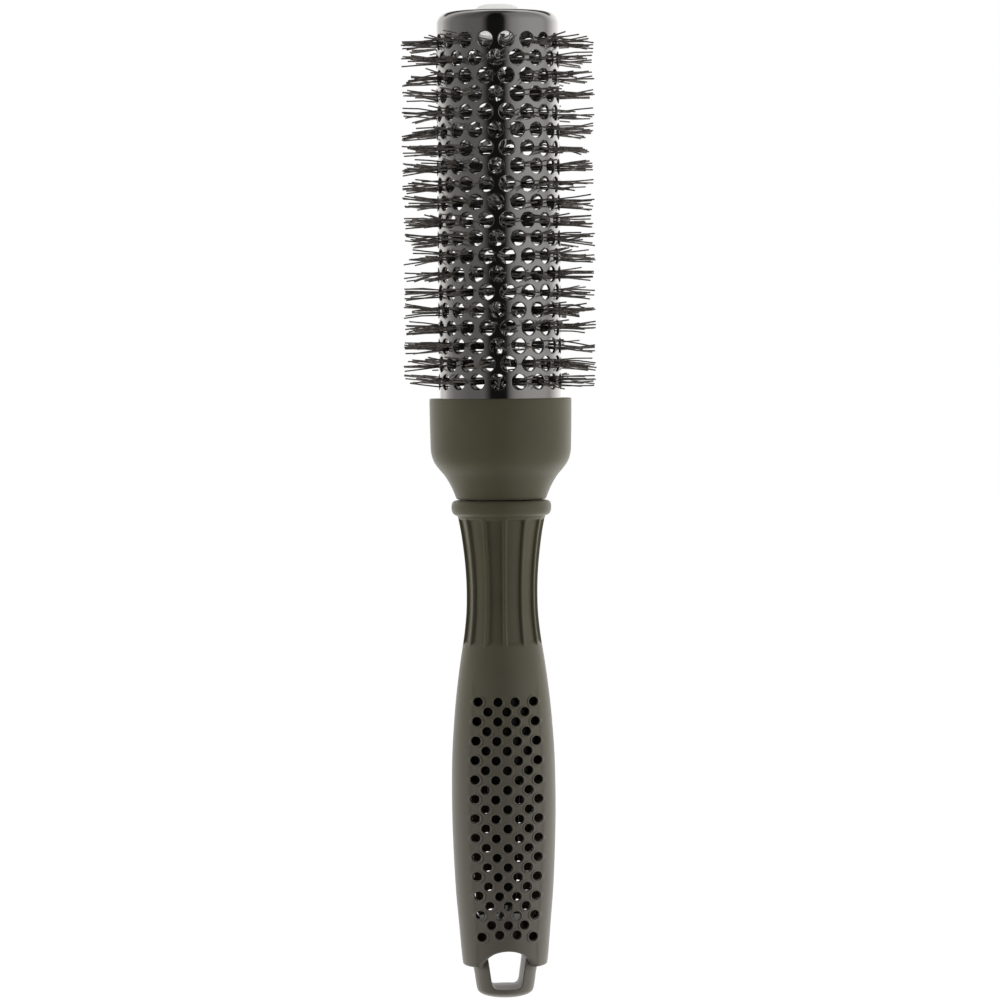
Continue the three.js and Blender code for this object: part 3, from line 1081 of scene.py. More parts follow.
@dataclass
class Bristles:
    """The filaments: each leaves the stem, goes through a hole and ends at the brush's full radius."""

    holes: HoleRows
    barrel: Barrel
    filament_radius: float = 0.195
    sides: int = 6
    counts: tuple[int, ...] = (1, 2, 3, 3, 4, 4, 5, 6)
    hole_room: float = 1.3
    most_spread: float = 1.9
    short_share: float = 0.3
    strays_per_row: int = 5
    tuft_lean: float = 0.7
    root_reach: Spot = (0.4, 1.6)
    cut_scatter: float = 0.5
    shortest_by: float = 3.0
    bow: float = 0.15
    inside_gap: float = 0.5
    seed: int = 7

    def build(self, row: int) -> bpy.types.Object:
        """Builds one row's filaments.

        Args:
            row: The row, the top one being 0.

        Returns:
            The row's piece.
        """
        rng = random.Random(self.seed * 1000 + row)
        tip_radius = node_size(f"bristle_row_{row + 1:02d}")[0]
        skin = Skin()
        z = self.holes.height(row)
        for angle in self.holes.angles(row):
            tuft = rng.gauss(0, self.tuft_lean), rng.gauss(0, self.tuft_lean)
            for _ in range(rng.choice(self.counts)):
                self._through(skin, rng, (angle, z), tip_radius, tuft)
        for _ in range(self.strays_per_row):
            self._inside(skin, rng, z)
        return skin.build(f"bristles_{row + 1:02d}", 60.0)

    def _through(self, skin: Skin, rng: random.Random, hole: Spot, tip_radius: float, tuft: Spot) -> None:
        """Adds one filament from the stem through a hole to its tuft's tip.

        Args:
            skin: The row's mesh.
            rng: The row's random numbers.
            hole: The hole's angle and height.
            tip_radius: The brush's full radius.
            tuft: How far the whole tuft leans, along and up.
        """
        angle, z = hole
        across = Vector(around(1.0, angle + 90, 0.0))
        out = Vector(around(1.0, angle, 0.0))
        up = Vector((0.0, 0.0, 1.0))
        reach = self.hole_room * math.sqrt(rng.random())
        side = rng.uniform(0, 2 * math.pi)
        u, v = reach * math.cos(side), reach * math.sin(side)
        gather = rng.uniform(-0.3, 1.0)
        tip_u = self._held(2.2 * (u * (1 - gather) + tuft[0]) + rng.gauss(0, 0.8), 2 * self.most_spread)
        tip_v = self._held(v * (1 - gather) * 1.4 + tuft[1] + rng.gauss(0, 0.35), self.most_spread)
        short, long = (self.cut_scatter, self.shortest_by), (0.0, self.cut_scatter)
        short = rng.uniform(*(short if rng.random() < self.short_share else long))
        end = tip_radius - self.filament_radius - short
        root = out * rng.uniform(*self.root_reach) + across * rng.gauss(0, 0.6) + up * (z + rng.gauss(0, 0.5))
        through = out * math.sqrt(self.barrel.radius**2 - u**2) + across * u + up * (z + v)
        tip = out * math.sqrt(end**2 - tip_u**2) + across * tip_u + up * (z + tip_v)
        bow = across * rng.gauss(0, self.bow) + up * rng.gauss(0, self.bow)
        self._rod(skin, [root, (root + through) / 2, through, (through + tip) / 2 + bow, tip])

    def _held(self, value: float, limit: float) -> float:
        """Holds a value between -limit and limit."""
        return min(limit, max(-limit, value))

    def _inside(self, skin: Skin, rng: random.Random, z: float) -> None:
        """Adds one filament that stays inside the barrel, bent against its wall.

        Args:
            skin: The row's mesh.
            rng: The row's random numbers.
            z: The row's height.
        """
        inner = self.barrel.radius - self.barrel.wall - self.inside_gap
        angle = rng.uniform(0, 360)
        swing = rng.choice((-1, 1)) * rng.uniform(12, 38)
        low = z + rng.uniform(-2.2, 2.2)
        high = low + rng.gauss(0, 1.6)
        path = [
            Vector(around(1.0, angle, low)),
            Vector(around(0.5 * inner, angle, low + 0.4 * (high - low))),
            Vector(around(0.86 * inner, angle + 0.2 * swing, low + 0.7 * (high - low))),
            Vector(around(inner, angle + 0.6 * swing, high)),
            Vector(around(inner, angle + swing, high)),
        ]
        self._rod(skin, path)

    def _rod(self, skin: Skin, path: Sequence[Vector]) -> None:
        """Adds a closed round rod along a path.

        Args:
            skin: The mesh.
            path: Points along its middle, in millimetres.
        """
        rings = []
        for i, spot in enumerate(path):
            before, after = path[max(0, i - 1)], path[min(len(path) - 1, i + 1)]
            along = (after - before).normalized()
            across = along.orthogonal() if i == 0 else across - along * across.dot(along)
            across = across.normalized()
            other = along.cross(across)
            ring = []
            for k in range(self.sides):
                a = 2 * math.pi * k / self.sides
                p = spot + (across * math.cos(a) + other * math.sin(a)) * self.filament_radius
                ring.append((p.x, p.y, p.z))
            rings.append(skin.row(ring))
        for lower, upper in zip(rings, rings[1:]):
            skin.bridge(lower, upper)
        skin.faces.append(tuple(reversed(rings[0])))
        skin.faces.append(tuple(rings[-1]))


# ------------------------------------------------------------------------------------------ cup and handle


@dataclass
class Cup:
    """The cup that holds the barrel."""

    seat_radius: float = 16.3
    shelf_z: float = 146.7
    bore: float = 6.3
    boss: float = 8.5
    boss_top: float = 143.5
    well_floor: float = 138.5
    well_width: float = 1.4
    shelf_width: float = 2.4
    foot_radius: float = 11.45
    rim_edge: float = 0.3
    seat_edge: float = 0.25

    def build(self) -> bpy.types.Object:
        """Builds the cup: foot, flare, wall, thin rim, seat and boss.

        Returns:
            The cup.
        """
        rim_radius, foot, rim = node_size("barrel_cup")
        flare = Curve(
            [
                (11.72, foot + 0.25),
                (12.52, 132.1),
                (13.45, 134.0),
                (14.7, 136.0),
                (16.25, 137.85),
                (17.3, 139.35),
                (17.92, 140.9),
                (18.2, 142.4),
                (18.29, 144.5),
                (18.42, 151.0),
                (rim_radius, rim - self.rim_edge),
            ]
        )
        edge, seat = self.rim_edge, self.seat_radius
        outline = [(self.bore, foot), (self.foot_radius, foot), *flare.steps(60)]
        outline += arc((rim_radius - edge, rim - edge), (edge, edge), 30, 90, 3)
        outline += [(seat + self.seat_edge, rim), (seat, rim - self.seat_edge)]
        outline += [(seat, self.shelf_z), (seat - self.shelf_width, self.shelf_z)]
        outline += [(self.boss + self.well_width, self.well_floor), (self.boss, self.well_floor)]
        outline += [(self.boss, self.boss_top), (self.bore, self.boss_top), (self.bore, foot)]
        return turned("barrel_cup_shell", outline, 128, 40.0)


@dataclass
class Vents:
    """The staggered vents of one panel of the grip, drilled straight from front to back."""

    rows: int = 25
    radius: float = 1.175
    edge: float = 0.5
    lip: float = 0.13
    bottom_row_z: float = 17.3
    top_row_z: float = 77.65
    last_row_drop: float = 0.7
    rear_shift: Spot = (0.75, -1.9)
    corners: int = 20
    inner: Curve = Curve(
        [(2.2, 17.4), (2.2, 28.1), (2.55, 33.0), (2.92, 43.0), (3.01, 50.4), (2.97, 57.9)]
        + [(2.82, 62.9), (2.58, 67.9), (2.27, 73.0), (2.15, 78.0)]
    )
    middle: Curve = Curve(
        [(4.2, 20.0), (4.71, 25.5), (4.99, 30.5), (5.23, 35.4), (5.44, 40.4), (5.52, 45.4)]
        + [(5.58, 50.4), (5.57, 55.4), (5.48, 60.3), (5.31, 65.4), (5.02, 70.4), (4.68, 75.4)]
    )
    outer: Curve = Curve(
        [(6.5, 16.6), (6.98, 23.0), (7.4, 28.1), (7.72, 33.0), (7.93, 38.0), (8.09, 43.0), (8.14, 47.9)]
        + [(8.17, 52.9), (8.12, 57.9), (8.0, 62.9), (7.74, 67.9), (7.42, 73.0), (7.05, 78.0)]
    )

    def spots(self, back: bool) -> list[Spot]:
        """Lists the vents' places, each panel seen from its own side.

        Args:
            back: True for the rear panel, whose vents are drilled from a slightly shifted start.

        Returns:
            (across, height) of each vent's centre, the bottom row first.
        """
        step = (self.top_row_z - self.bottom_row_z) / (self.rows - 1)
        found = []
        for row in range(self.rows):
            z = self.bottom_row_z + row * step
            if row % 2:
                found += [(-self.middle(z), z), (0.0, z), (self.middle(z), z)]
                continue
            drop = self.last_row_drop if row == 0 else 0.0
            found += [(-self.outer(z), z - drop), (-self.inner(z), z)]
            found += [(self.inner(z), z), (self.outer(z), z - drop)]
        return [(x + self.rear_shift[0] * back, z + self.rear_shift[1] * back) for x, z in found]


@dataclass
class GripShell:
    """The handle's shell: bead, fluted neck, and hollow body with a vented panel front and back."""

    vents: Vents
    wall: float = 1.9
    join_z: float = 87.0
    flute_bottom: float = 91.9
    flute_top: float = 124.9
    flute_count: int = 12
    flute_profile: tuple[Spot, ...] = (
        (0.0, 0.0),
        (1.4, 0.01),
        (2.1, 0.06),
        (2.6, 0.2),
        (2.85, 0.4),
        (3.05, 0.62),
        (3.4, 0.78),
        (4.2, 0.85),
        (7.0, 0.85),
        (11.0, 0.85),
        (15.0, 0.85),
    )
    socket_radius: float = 8.6
    socket_top: float = 21.0
    waist_z: float = 104.5
    neck_bore: float = 8.2
    neck_bore_z: float = 118.0
    arch_half_width: float = 7.65
    arch_rise: float = 4.5
    arch_roundness: float = 0.6
    edge: float = 0.5
    panel_margin: float = 1.3
    panel_recess: float = 0.2
    column_mm: float = 0.22
    outline: Curve = Curve(
        [(10.95, 8.4), (11.28, 11.0), (11.97, 19.2), (12.68, 27.5), (13.12, 35.8), (13.42, 44.2)]
        + [(13.53, 52.5), (13.35, 62.9), (12.84, 71.2), (12.29, 77.4), (11.54, 83.7), (10.96, 87.8)]
        + [(10.31, 92.0), (9.75, 96.1), (9.36, 100.3), (9.24, 104.5), (9.31, 108.6), (9.57, 112.8)]
        + [(10.0, 116.9), (10.57, 121.1), (11.3, 125.0)]
    )
    bead: tuple[Spot, ...] = (
        (11.45, 125.45),
        (11.95, 125.6),
        (12.3, 125.82),
        (12.55, 126.05),
        (12.71, 126.3),
        (12.84, 126.6),
        (12.94, 127.0),
        (12.99, 127.5),
        (13.0, 127.9),
        (12.93, 128.4),
        (12.85, 128.68),
        (12.75, 128.9),
        (12.52, 129.18),
        (12.2, 129.38),
        (11.8, 129.48),
        (11.5, 129.5),
    )
    bottom: float = field(init=False)
    top: float = field(init=False)

    def __post_init__(self) -> None:
        """Reads the shell's ends from the frame."""
        _, self.bottom, self.top = node_size("grip_shell")

    def radius(self, angle: float, z: float) -> float:
        """Gives the body's outer radius, with the vented panels set back a little.

        Args:
            angle: Degrees from the front.
            z: Height.

        Returns:
            The radius.
        """
        outline = self.outline(z)
        across = outline * abs(math.sin(math.radians(angle)))
        side = self.vents.outer(z) + self.panel_margin
        panel = 1 - ease(side - 0.4, side + 0.4, across)
        return outline - self.panel_recess * panel * (1 - ease(79, 84, z))

    def inner(self, z: float) -> float:
        """Gives the body's inner radius at height z.

        Args:
            z: Height.

        Returns:
            The radius.
        """
        hollow = self.outline(z) - self.wall
        share = ease(self.socket_top, self.socket_top + 1.5, z)
        return self.socket_radius + (hollow - self.socket_radius) * share

    def spot(self, angle: float, z: float, depth: float | None) -> Point:
        """Places a point of the wall square to the surface.

        Args:
            angle: Degrees from the front.
            z: Height.
            depth: Depth below the surface, or None for the inner surface.

        Returns:
            The point.
        """
        return around(self._reach(angle, z, depth), angle, z)

    def _reach(self, angle: float, z: float, depth: float | None) -> float:
        """Gives the radius at a depth in the wall, or of the inner surface where the depth is None."""
        return self.inner(z) if depth is None else self.radius(angle, z) - depth

    def drilled(self, x: float, z: float, depth: float | None, back: bool) -> Point:
        """Places a point of the wall straight behind a place seen square to its panel.

        Args:
            x: Place across.
            z: Height.
            depth: Depth below the surface, or None for the inner surface.
            back: True for the rear panel.

        Returns:
            The point.
        """
        angle = math.degrees(math.asin(x / self.outline(z)))
        y = -math.sqrt(max(self._reach(angle, z, depth), abs(x) + 0.2) ** 2 - x**2)
        return (-x, -y, z) if back else (x, y, z)

    def columns(self) -> list[float]:
        """Lists the neck's vertex angles: close together at the ribs, wider on the flutes' floors.

        Returns:
            The angles, in degrees from the front.
        """
        pitch = 360 / self.flute_count
        near = [offset for offset, _ in self.flute_profile]
        offsets = near + [pitch - a for a in reversed(near[1:-1])]
        return [k * pitch + a for k in range(self.flute_count) for a in offsets]

    def flute(self, angle: float, z: float) -> float:
        """Gives the depth of the flutes.

        Args:
            angle: Degrees from the front.
            z: Height.

        Returns:
            The depth below the neck's outline.
        """
        pitch = 360 / self.flute_count
        off_rib = abs((angle + pitch / 2) % pitch - pitch / 2)
        depth = self.flute_profile[-1][1]
        for (a0, d0), (a1, d1) in zip(self.flute_profile, self.flute_profile[1:]):
            if off_rib < a1:
                depth = d0 + (d1 - d0) * (off_rib - a0) / (a1 - a0)
                break
        ends = ease(self.flute_bottom - 0.2, self.flute_bottom + 1.4, z)
        return depth * ends * (1 - ease(self.flute_top - 0.7, self.flute_top, z))

    def arch(self, x: float, grown: float) -> float:
        """Gives the height of the arched mouth, between a round arc and an ellipse.

        Args:
            x: Place across.
            grown: How far the mouth is grown on every side.

        Returns:
            The height, or the shell's bottom beside the mouth.
        """
        half, rise = self.arch_half_width + grown, self.arch_rise + grown
        if abs(x) >= half:
            return self.bottom
        big = (half**2 + rise**2) / (2 * rise)
        round_arc = math.sqrt(big**2 - x**2) - (big - rise)
        ellipse = rise * math.sqrt(1 - (x / half) ** 2)
        return self.bottom + self.arch_roundness * round_arc + (1 - self.arch_roundness) * ellipse

    def build(self) -> bpy.types.Object:
        """Builds the whole shell as one welded mesh.

        Returns:
            The shell.
        """
        skin = Skin()
        for back in (False, True):
            self._body_half(skin, back)
        self._neck(skin)
        return skin.build("grip_shell_moulding", 45.0)

    def _lower_edge(self) -> list[tuple[Spot, Spot]]:
        """Traces half of the shell's lower edge, set in by the edge's rounding.

        Returns:
            Pairs of (angle, height) and the outward direction along the surface, from -90 to 90 degrees.
        """
        low = self.bottom + self.edge
        inside, outside = 0.0, self.arch_half_width + self.edge
        for _ in range(40):
            middle = (inside + outside) / 2
            inside, outside = (middle, outside) if self.arch(middle, self.edge) > low else (inside, middle)
        steps = 40
        turns = [math.pi * (i / steps - 0.5) for i in range(steps + 1)]
        places = [(inside * math.sin(t), self.arch(inside * math.sin(t), self.edge)) for t in turns]
        places[0], places[-1] = (-inside, low), (inside, low)
        arch = []
        for i, (x, z) in enumerate(places):
            before, after = places[max(0, i - 1)], places[min(steps, i + 1)]
            away = Vector((after[1] - before[1], before[0] - after[0])).normalized()
            arch.append(((math.degrees(math.asin(x / self.outline(z))), z), (away.x, away.y)))
        for i in (0, steps):
            spot, away = arch[i]
            mitre = Vector((away[0], away[1] - 1)).normalized()
            scale = 1 / max(0.5, -mitre.y)
            arch[i] = (spot, (mitre.x * scale, mitre.y * scale))
        corner = arch[-1][0][0]
        flat = [corner + (90 - corner) * i / 12 for i in range(1, 13)]
        right = [((angle, low), (0.0, -1.0)) for angle in flat]
        left = [((-angle, low), (0.0, -1.0)) for angle in reversed(flat)]
        return left + arch + right

    def _edge_profile(self, edge: float, lip: float) -> list[tuple[float, float | None]]:
        """Lists how an opening's edge rolls over and goes through the wall.

        Args:
            edge: The rounding's radius.
            lip: How far the edge stands up before it rolls over.

        Returns:
            (distance towards the opening, depth) pairs, the depth None on the inner surface.
        """
        profile: list[tuple[float, float | None]] = [(0.0, 0.0)]
        if lip:
            profile += [(0.2 * edge, -0.6 * lip), (0.4 * edge, -lip), (0.6 * edge, -0.85 * lip)]
            profile += [(0.8 * edge, 0.3 * lip), (0.94 * edge, 0.3 * edge), (edge, 0.6 * edge)]
        else:
            turns = [math.radians(turn) for turn in (22.5, 45.0, 67.5, 90.0)]
            profile += [(edge * math.sin(a), edge * (1 - math.cos(a))) for a in turns]
        return profile + [(edge, self.wall - 0.2), (edge - 0.2, None), (0.0, None)]

    def _roll_lower_edge(self, skin: Skin, trace: Sequence[tuple[Spot, Spot]], back: bool) -> None:
        """Rounds half of the shell's lower edge over and carries it through the wall.

        Args:
            skin: The mesh.
            trace: Pairs of (angle, height) on the surface and the direction into the opening.
            back: True for the rear half.
        """
        rows = []
        for offset, depth in self._edge_profile(self.edge, 0.0):
            spots = []
            for (angle, z), (du, dv) in trace:
                at = angle + du * offset / math.radians(self.outline(z))
                spots.append(self.spot(at + 180 * back, z + dv * offset, depth))
            rows.append(skin.row(spots))
        for outer, inner in zip(rows, rows[1:]):
            skin.bridge(outer, inner, False)

    def _vent_loop(self, vent: Spot, offset: float) -> list[Spot]:
        """Lists (across, height) points round a vent.

        Args:
            vent: The vent's centre.
            offset: Distance in from the outside of its rounded edge.

        Returns:
            The closed loop.
        """
        reach = self.vents.radius + self.vents.edge - offset
        turns = [2 * math.pi * i / self.vents.corners for i in range(self.vents.corners)]
        return [(vent[0] + reach * math.cos(t), vent[1] + reach * math.sin(t)) for t in turns]

    def _roll_vent(self, skin: Skin, vent: Spot, back: bool) -> None:
        """Rounds a vent's edge over and carries it through the wall.

        Args:
            skin: The mesh.
            vent: The vent's centre, (across, height).
            back: True for the rear half.
        """
        rows = []
        for offset, depth in self._edge_profile(self.vents.edge, self.vents.lip):
            loop = self._vent_loop(vent, offset)
            rows.append(skin.row(self.drilled(x, z, depth, back) for x, z in loop))
        for outer, inner in zip(rows, rows[1:]):
            skin.bridge(outer, inner)

    def _body_half(self, skin: Skin, back: bool) -> None:
        """Adds half of the body, from one side to the other across a vented panel.

        Args:
            skin: The mesh.
            back: True for the rear half.
        """
        lower = self._lower_edge()
        vents = self.vents.spots(back)
        loops = [self._vent_loop(vent, 0.0) for vent in vents]
        rings = [(math.degrees(math.asin(x / self.outline(z))), z) for loop in loops for x, z in loop]
        top = [c - 180 for c in self.columns() if 90 <= c <= 270]
        start = self.bottom + self.edge
        sides = [start + (self.join_z - self.bottom - self.edge) * i / 60 for i in range(1, 60)]
        boundary = [spot for spot, _ in lower]
        boundary += [(90.0, z) for z in sides]
        boundary += [(angle, self.join_z) for angle in reversed(top)]
        boundary += [(-90.0, z) for z in reversed(sides)]
        grid = self._grid(vents)
        points = [Vector((a * self.column_mm, z)) for a, z in [*boundary, *rings, *grid]]
        edges = self._loop_edges([len(boundary), *(len(loop) for loop in loops)])
        found, _, triangles, *_ = delaunay_2d_cdt(points, edges, [], 0, 1e-6, False)
        flat = [(p.x / self.column_mm, p.y) for p in found]
        outside = skin.row(self.spot(a + 180 * back, z, 0.0) for a, z in flat)
        inside = skin.row(self._inner_spot(a, z, vents, back) for a, z in flat)
        for triangle in triangles:
            angle, z = (sum(flat[v][k] for v in triangle) / 3 for k in (0, 1))
            if self._is_wall(angle, z, vents):
                skin.faces.append(tuple(outside[v] for v in triangle))
                skin.faces.append(tuple(inside[v] for v in reversed(triangle)))
        self._roll_lower_edge(skin, lower, back)
        for vent in vents:
            self._roll_vent(skin, vent, back)

    def _inner_spot(self, angle: float, z: float, vents: Sequence[Spot], back: bool) -> Point:
        """Places an inner point: straight behind the outer one at a vent, square to the surface elsewhere.

        Args:
            angle: Degrees from the middle of the panel.
            z: Height.
            vents: The vents' centres.
            back: True for the rear half.

        Returns:
            The point.
        """
        if self._vent_gap(angle, z, vents) < self.vents.radius + self.vents.edge + 0.01:
            return self.drilled(self.outline(z) * math.sin(math.radians(angle)), z, None, back)
        return self.spot(angle + 180 * back, z, None)

    def _loop_edges(self, counts: Sequence[int]) -> list[tuple[int, int]]:
        """Lists the edges of closed loops whose points follow one another.

        Args:
            counts: Number of points of each loop.

        Returns:
            Pairs of point numbers.
        """
        edges = []
        start = 0
        for count in counts:
            edges += [(start + i, start + (i + 1) % count) for i in range(count)]
            start += count
        return edges

    def _vent_gap(self, angle: float, z: float, vents: Sequence[Spot]) -> float:
        """Gives the distance to the nearest vent's centre, seen from the front.

        Args:
            angle: Degrees from the front.
            z: Height.
            vents: The vents' centres.

        Returns:
            The distance.
        """
        x = self.outline(z) * math.sin(math.radians(angle))
        return min(math.hypot(x - across, z - height) for across, height in vents)

    def _grid(self, vents: Sequence[Spot]) -> list[Spot]:
        """Lists the free (angle, height) points of the surface between the vents and the lower edge.

        Args:
            vents: The vents' centres.

        Returns:
            The points, sorted.
        """
        rows = 64
        clear = self.vents.radius + self.vents.edge + 0.25
        spots = []
        for i in range(1, rows):
            z = self.bottom + (self.join_z - self.bottom) * i / rows
            side = self.vents.outer(z) + self.panel_margin
            outline = self.outline(z)
            rim = [math.degrees(math.asin((side + d) / outline)) for d in (-0.4, -0.13, 0.13, 0.4)]
            plain = [5.0 * k for k in range(18) if all(abs(5.0 * k - a) > 1.2 for a in rim)]
            for angle in {s * a for s in (-1, 1) for a in (*plain, *rim)}:
                x = outline * math.sin(math.radians(angle))
                edge = max(self.bottom + self.edge, self.arch(x, self.edge))
                if edge + 0.6 <= z <= self.join_z - 0.6 and self._vent_gap(angle, z, vents) > clear:
                    spots.append((angle, z))
        return sorted(spots)

    def _is_wall(self, angle: float, z: float, vents: Sequence[Spot]) -> bool:
        """Tells whether a triangle's centre is on the wall rather than in a vent or in the mouth.

        Args:
            angle: Degrees from the middle of the panel.
            z: Height.
            vents: The vents' centres.

        Returns:
            True on the wall.
        """
        x = self.outline(z) * math.sin(math.radians(angle))
        in_mouth = z < self.arch(x, self.edge) - 0.01
        return not in_mouth and self._vent_gap(angle, z, vents) > self.vents.radius + 0.93 * self.vents.edge

    def _neck(self, skin: Skin) -> None:
        """Adds the fluted neck, the bead and the bore through them.

        Args:
            skin: The mesh.
        """
        columns = self.columns()
        low, high = self.flute_bottom, self.flute_top
        heights = [self.join_z + (low - 1.2 - self.join_z) * i / 4 for i in range(5)]
        heights += [low - 0.8 + 0.2 * i for i in range(13)]
        heights += [low + 1.9 + (high - 1.2 - low - 1.9) * i / 28 for i in range(29)]
        heights += [high - 1.0 + 0.2 * i for i in range(6)]
        rows = []
        for z in heights:
            rows.append(skin.row(around(self.radius(a, z) - self.flute(a, z), a, z) for a in columns))
        plain = [*self.bead, (self.neck_bore + 0.3, self.top), (self.neck_bore, self.top - 0.3)]
        plain.append((self.neck_bore, self.neck_bore_z))
        inside = [self.waist_z + (self.join_z - self.waist_z) * i / 6 for i in range(7)]
        plain += [(self.inner(z), z) for z in inside]
        rows += [skin.row(around(r, a, z) for a in columns) for r, z in plain]
        for lower, upper in zip(rows, rows[1:]):
            skin.bridge(lower, upper)


@dataclass
class NeckCore:
    """The rigid core inside the handle's upper half."""

    shell: GripShell
    gap: float = 0.3
    spigot: float = 6.0
    spigot_top: float = 146.0
    stem_socket: float = 2.5
    socket_floor: float = 117.7
    pick_bore: float = 2.0
    pick_bore_top: float = 86.0
    body_bottom: float = 57.0
    guide_radii: Spot = (2.9, 4.3)
    lead_in: float = 0.6
    shoulder: float = 129.2
    edge: float = 0.4

    def build(self) -> bpy.types.Object:
        """Builds the core: tapered guide tube below, body, spigot and stem socket above.

        Returns:
            The core.
        """
        _, low, _ = node_size("neck_core")
        shell, bottom, bore = self.shell, self.body_bottom, self.pick_bore
        narrow, wide = self.guide_radii
        waist = shell.neck_bore - self.gap
        heights = [bottom + 0.5 + (shell.waist_z - bottom - 0.5) * i / 24 for i in range(25)]
        outline = [(0.0, self.pick_bore_top), (bore, self.pick_bore_top), (bore, low + self.lead_in)]
        outline += [(bore + self.lead_in, low), (narrow, low), (wide, bottom)]
        outline += [(shell.inner(bottom) - self.gap - 0.5, bottom)]
        outline += [(shell.inner(z) - self.gap, z) for z in heights]
        outline += [(waist, shell.neck_bore_z), (waist, self.shoulder), (self.spigot, self.shoulder)]
        outline += [(self.spigot, self.spigot_top - self.edge), (self.spigot - self.edge, self.spigot_top)]
        outline += [(self.stem_socket, self.spigot_top), (self.stem_socket, self.socket_floor)]
        outline += [(0.0, self.socket_floor)]
        return turned("neck_core_moulding", outline, 64, 40.0)


# ------------------------------------------------------------------------------------------ loop and pick


@dataclass
class HangLoop:
    """The plug with its hang slot, and the boss that carries the pick."""

    slot_floor: float = 2.8
    slot_ceiling: float = 14.6
    floor_width: float = 6.9
    ceiling_width: float = 10.3
    corner: float = 1.3
    pick_bore: float = 1.8
    bore_floor: float = 16.5
    grain: float = 0.19
    draft: float = 0.045
    softening: int = 14
    foot_radius: float = 2.0
    edge: float = 0.4
    cutter_reach: float = 15.0
    side: Curve = Curve(
        [(4.0, 0.06), (4.9, 0.28), (5.8, 0.55), (6.4, 0.85), (6.8, 1.12), (7.1, 1.45), (7.32, 1.95)]
        + [(7.5, 2.6), (7.66, 3.6), (7.81, 4.6), (7.95, 5.7), (8.12, 6.7), (8.3, 7.75), (8.3, 9.0)]
    )

    def build(self) -> bpy.types.Object:
        """Builds the plug, cuts the slot through it and softens every edge.

        Returns:
            The loop.
        """
        radius, _, top = node_size("hang_loop")
        outline = [(0.0, 0.0), (self.foot_radius, 0.0), *self.side.steps(70)]
        outline += [(radius, top - self.edge), (radius - self.edge, top), (self.pick_bore, top)]
        outline += [(self.pick_bore, self.bore_floor), (0.0, self.bore_floor)]
        plug = turned("hang_loop_plug", outline, 120)
        cutter = self._cutter()
        cut = plug.modifiers.new("slot", "BOOLEAN")
        cut.operation = "DIFFERENCE"
        cut.solver = "EXACT"
        cut.object = cutter
        plug.modifiers.move(len(plug.modifiers) - 1, 0)
        settle(plug)
        bpy.data.objects.remove(cutter)
        remesh = plug.modifiers.new("even_mesh", "REMESH")
        remesh.mode = "VOXEL"
        remesh.voxel_size = self.grain * MM
        soften = plug.modifiers.new("soft_edges", "SMOOTH")
        soften.factor = 0.5
        soften.iterations = self.softening
        settle(plug)
        plug.data.polygons.foreach_set("use_smooth", [True] * len(plug.data.polygons))
        return plug

    def _cutter(self) -> bpy.types.Object:
        """Builds the slot's shape: it widens upwards and, with the mould's draft, towards both faces.

        Returns:
            The cutter, which is removed once the slot is cut.
        """
        low, high = self.floor_width / 2, self.ceiling_width / 2
        widening = (high - low) / (self.slot_ceiling - self.slot_floor)
        right = []
        for i in range(9):
            t = math.radians(90 * i / 8)
            x, z = self.corner * math.sin(t), self.slot_floor + self.corner * (1 - math.cos(t))
            right.append((low - self.corner + x + widening * (z - self.slot_floor), z))
        right.append((high, self.slot_ceiling))
        section = right + [(-x, z) for x, z in reversed(right)]
        skin = Skin()
        rows = []
        for y in (-self.cutter_reach, 0.0, self.cutter_reach):
            grown = abs(y) * self.draft
            rows.append(skin.row((x + math.copysign(grown, x), y, z - grown) for x, z in section))
        for near, far in zip(rows, rows[1:]):
            skin.bridge(near, far)
        skin.faces += [tuple(reversed(rows[0])), tuple(rows[-1])]
        return skin.build("slot_cutter")


@dataclass
class SectioningPick:
    """The slim steel pin on the hang loop."""

    shank_end: float = 34.0
    tip_radius: float = 0.8
    middle: Spot = (1.12, 60.0)
    root_edge: float = 0.2
    start_turn: float = 15.0

    def build(self) -> bpy.types.Object:
        """Builds the pin: straight shank, long taper and round tip.

        Returns:
            The pin.
        """
        radius, root, tip = node_size("sectioning_pick")
        end, edge = self.tip_radius, self.root_edge
        taper = Curve([(radius, self.shank_end), self.middle, (end, tip - end)])
        outline = [(0.0, root), (radius - edge, root), (radius, root + edge), *taper.steps(20)]
        outline += arc((0.0, tip - end), (end, end), self.start_turn, 90, 6)
        outline[-1] = (0.0, tip)
        return turned("sectioning_pick_pin", outline, 32)


# ------------------------------------------------------------------------------------------ studio


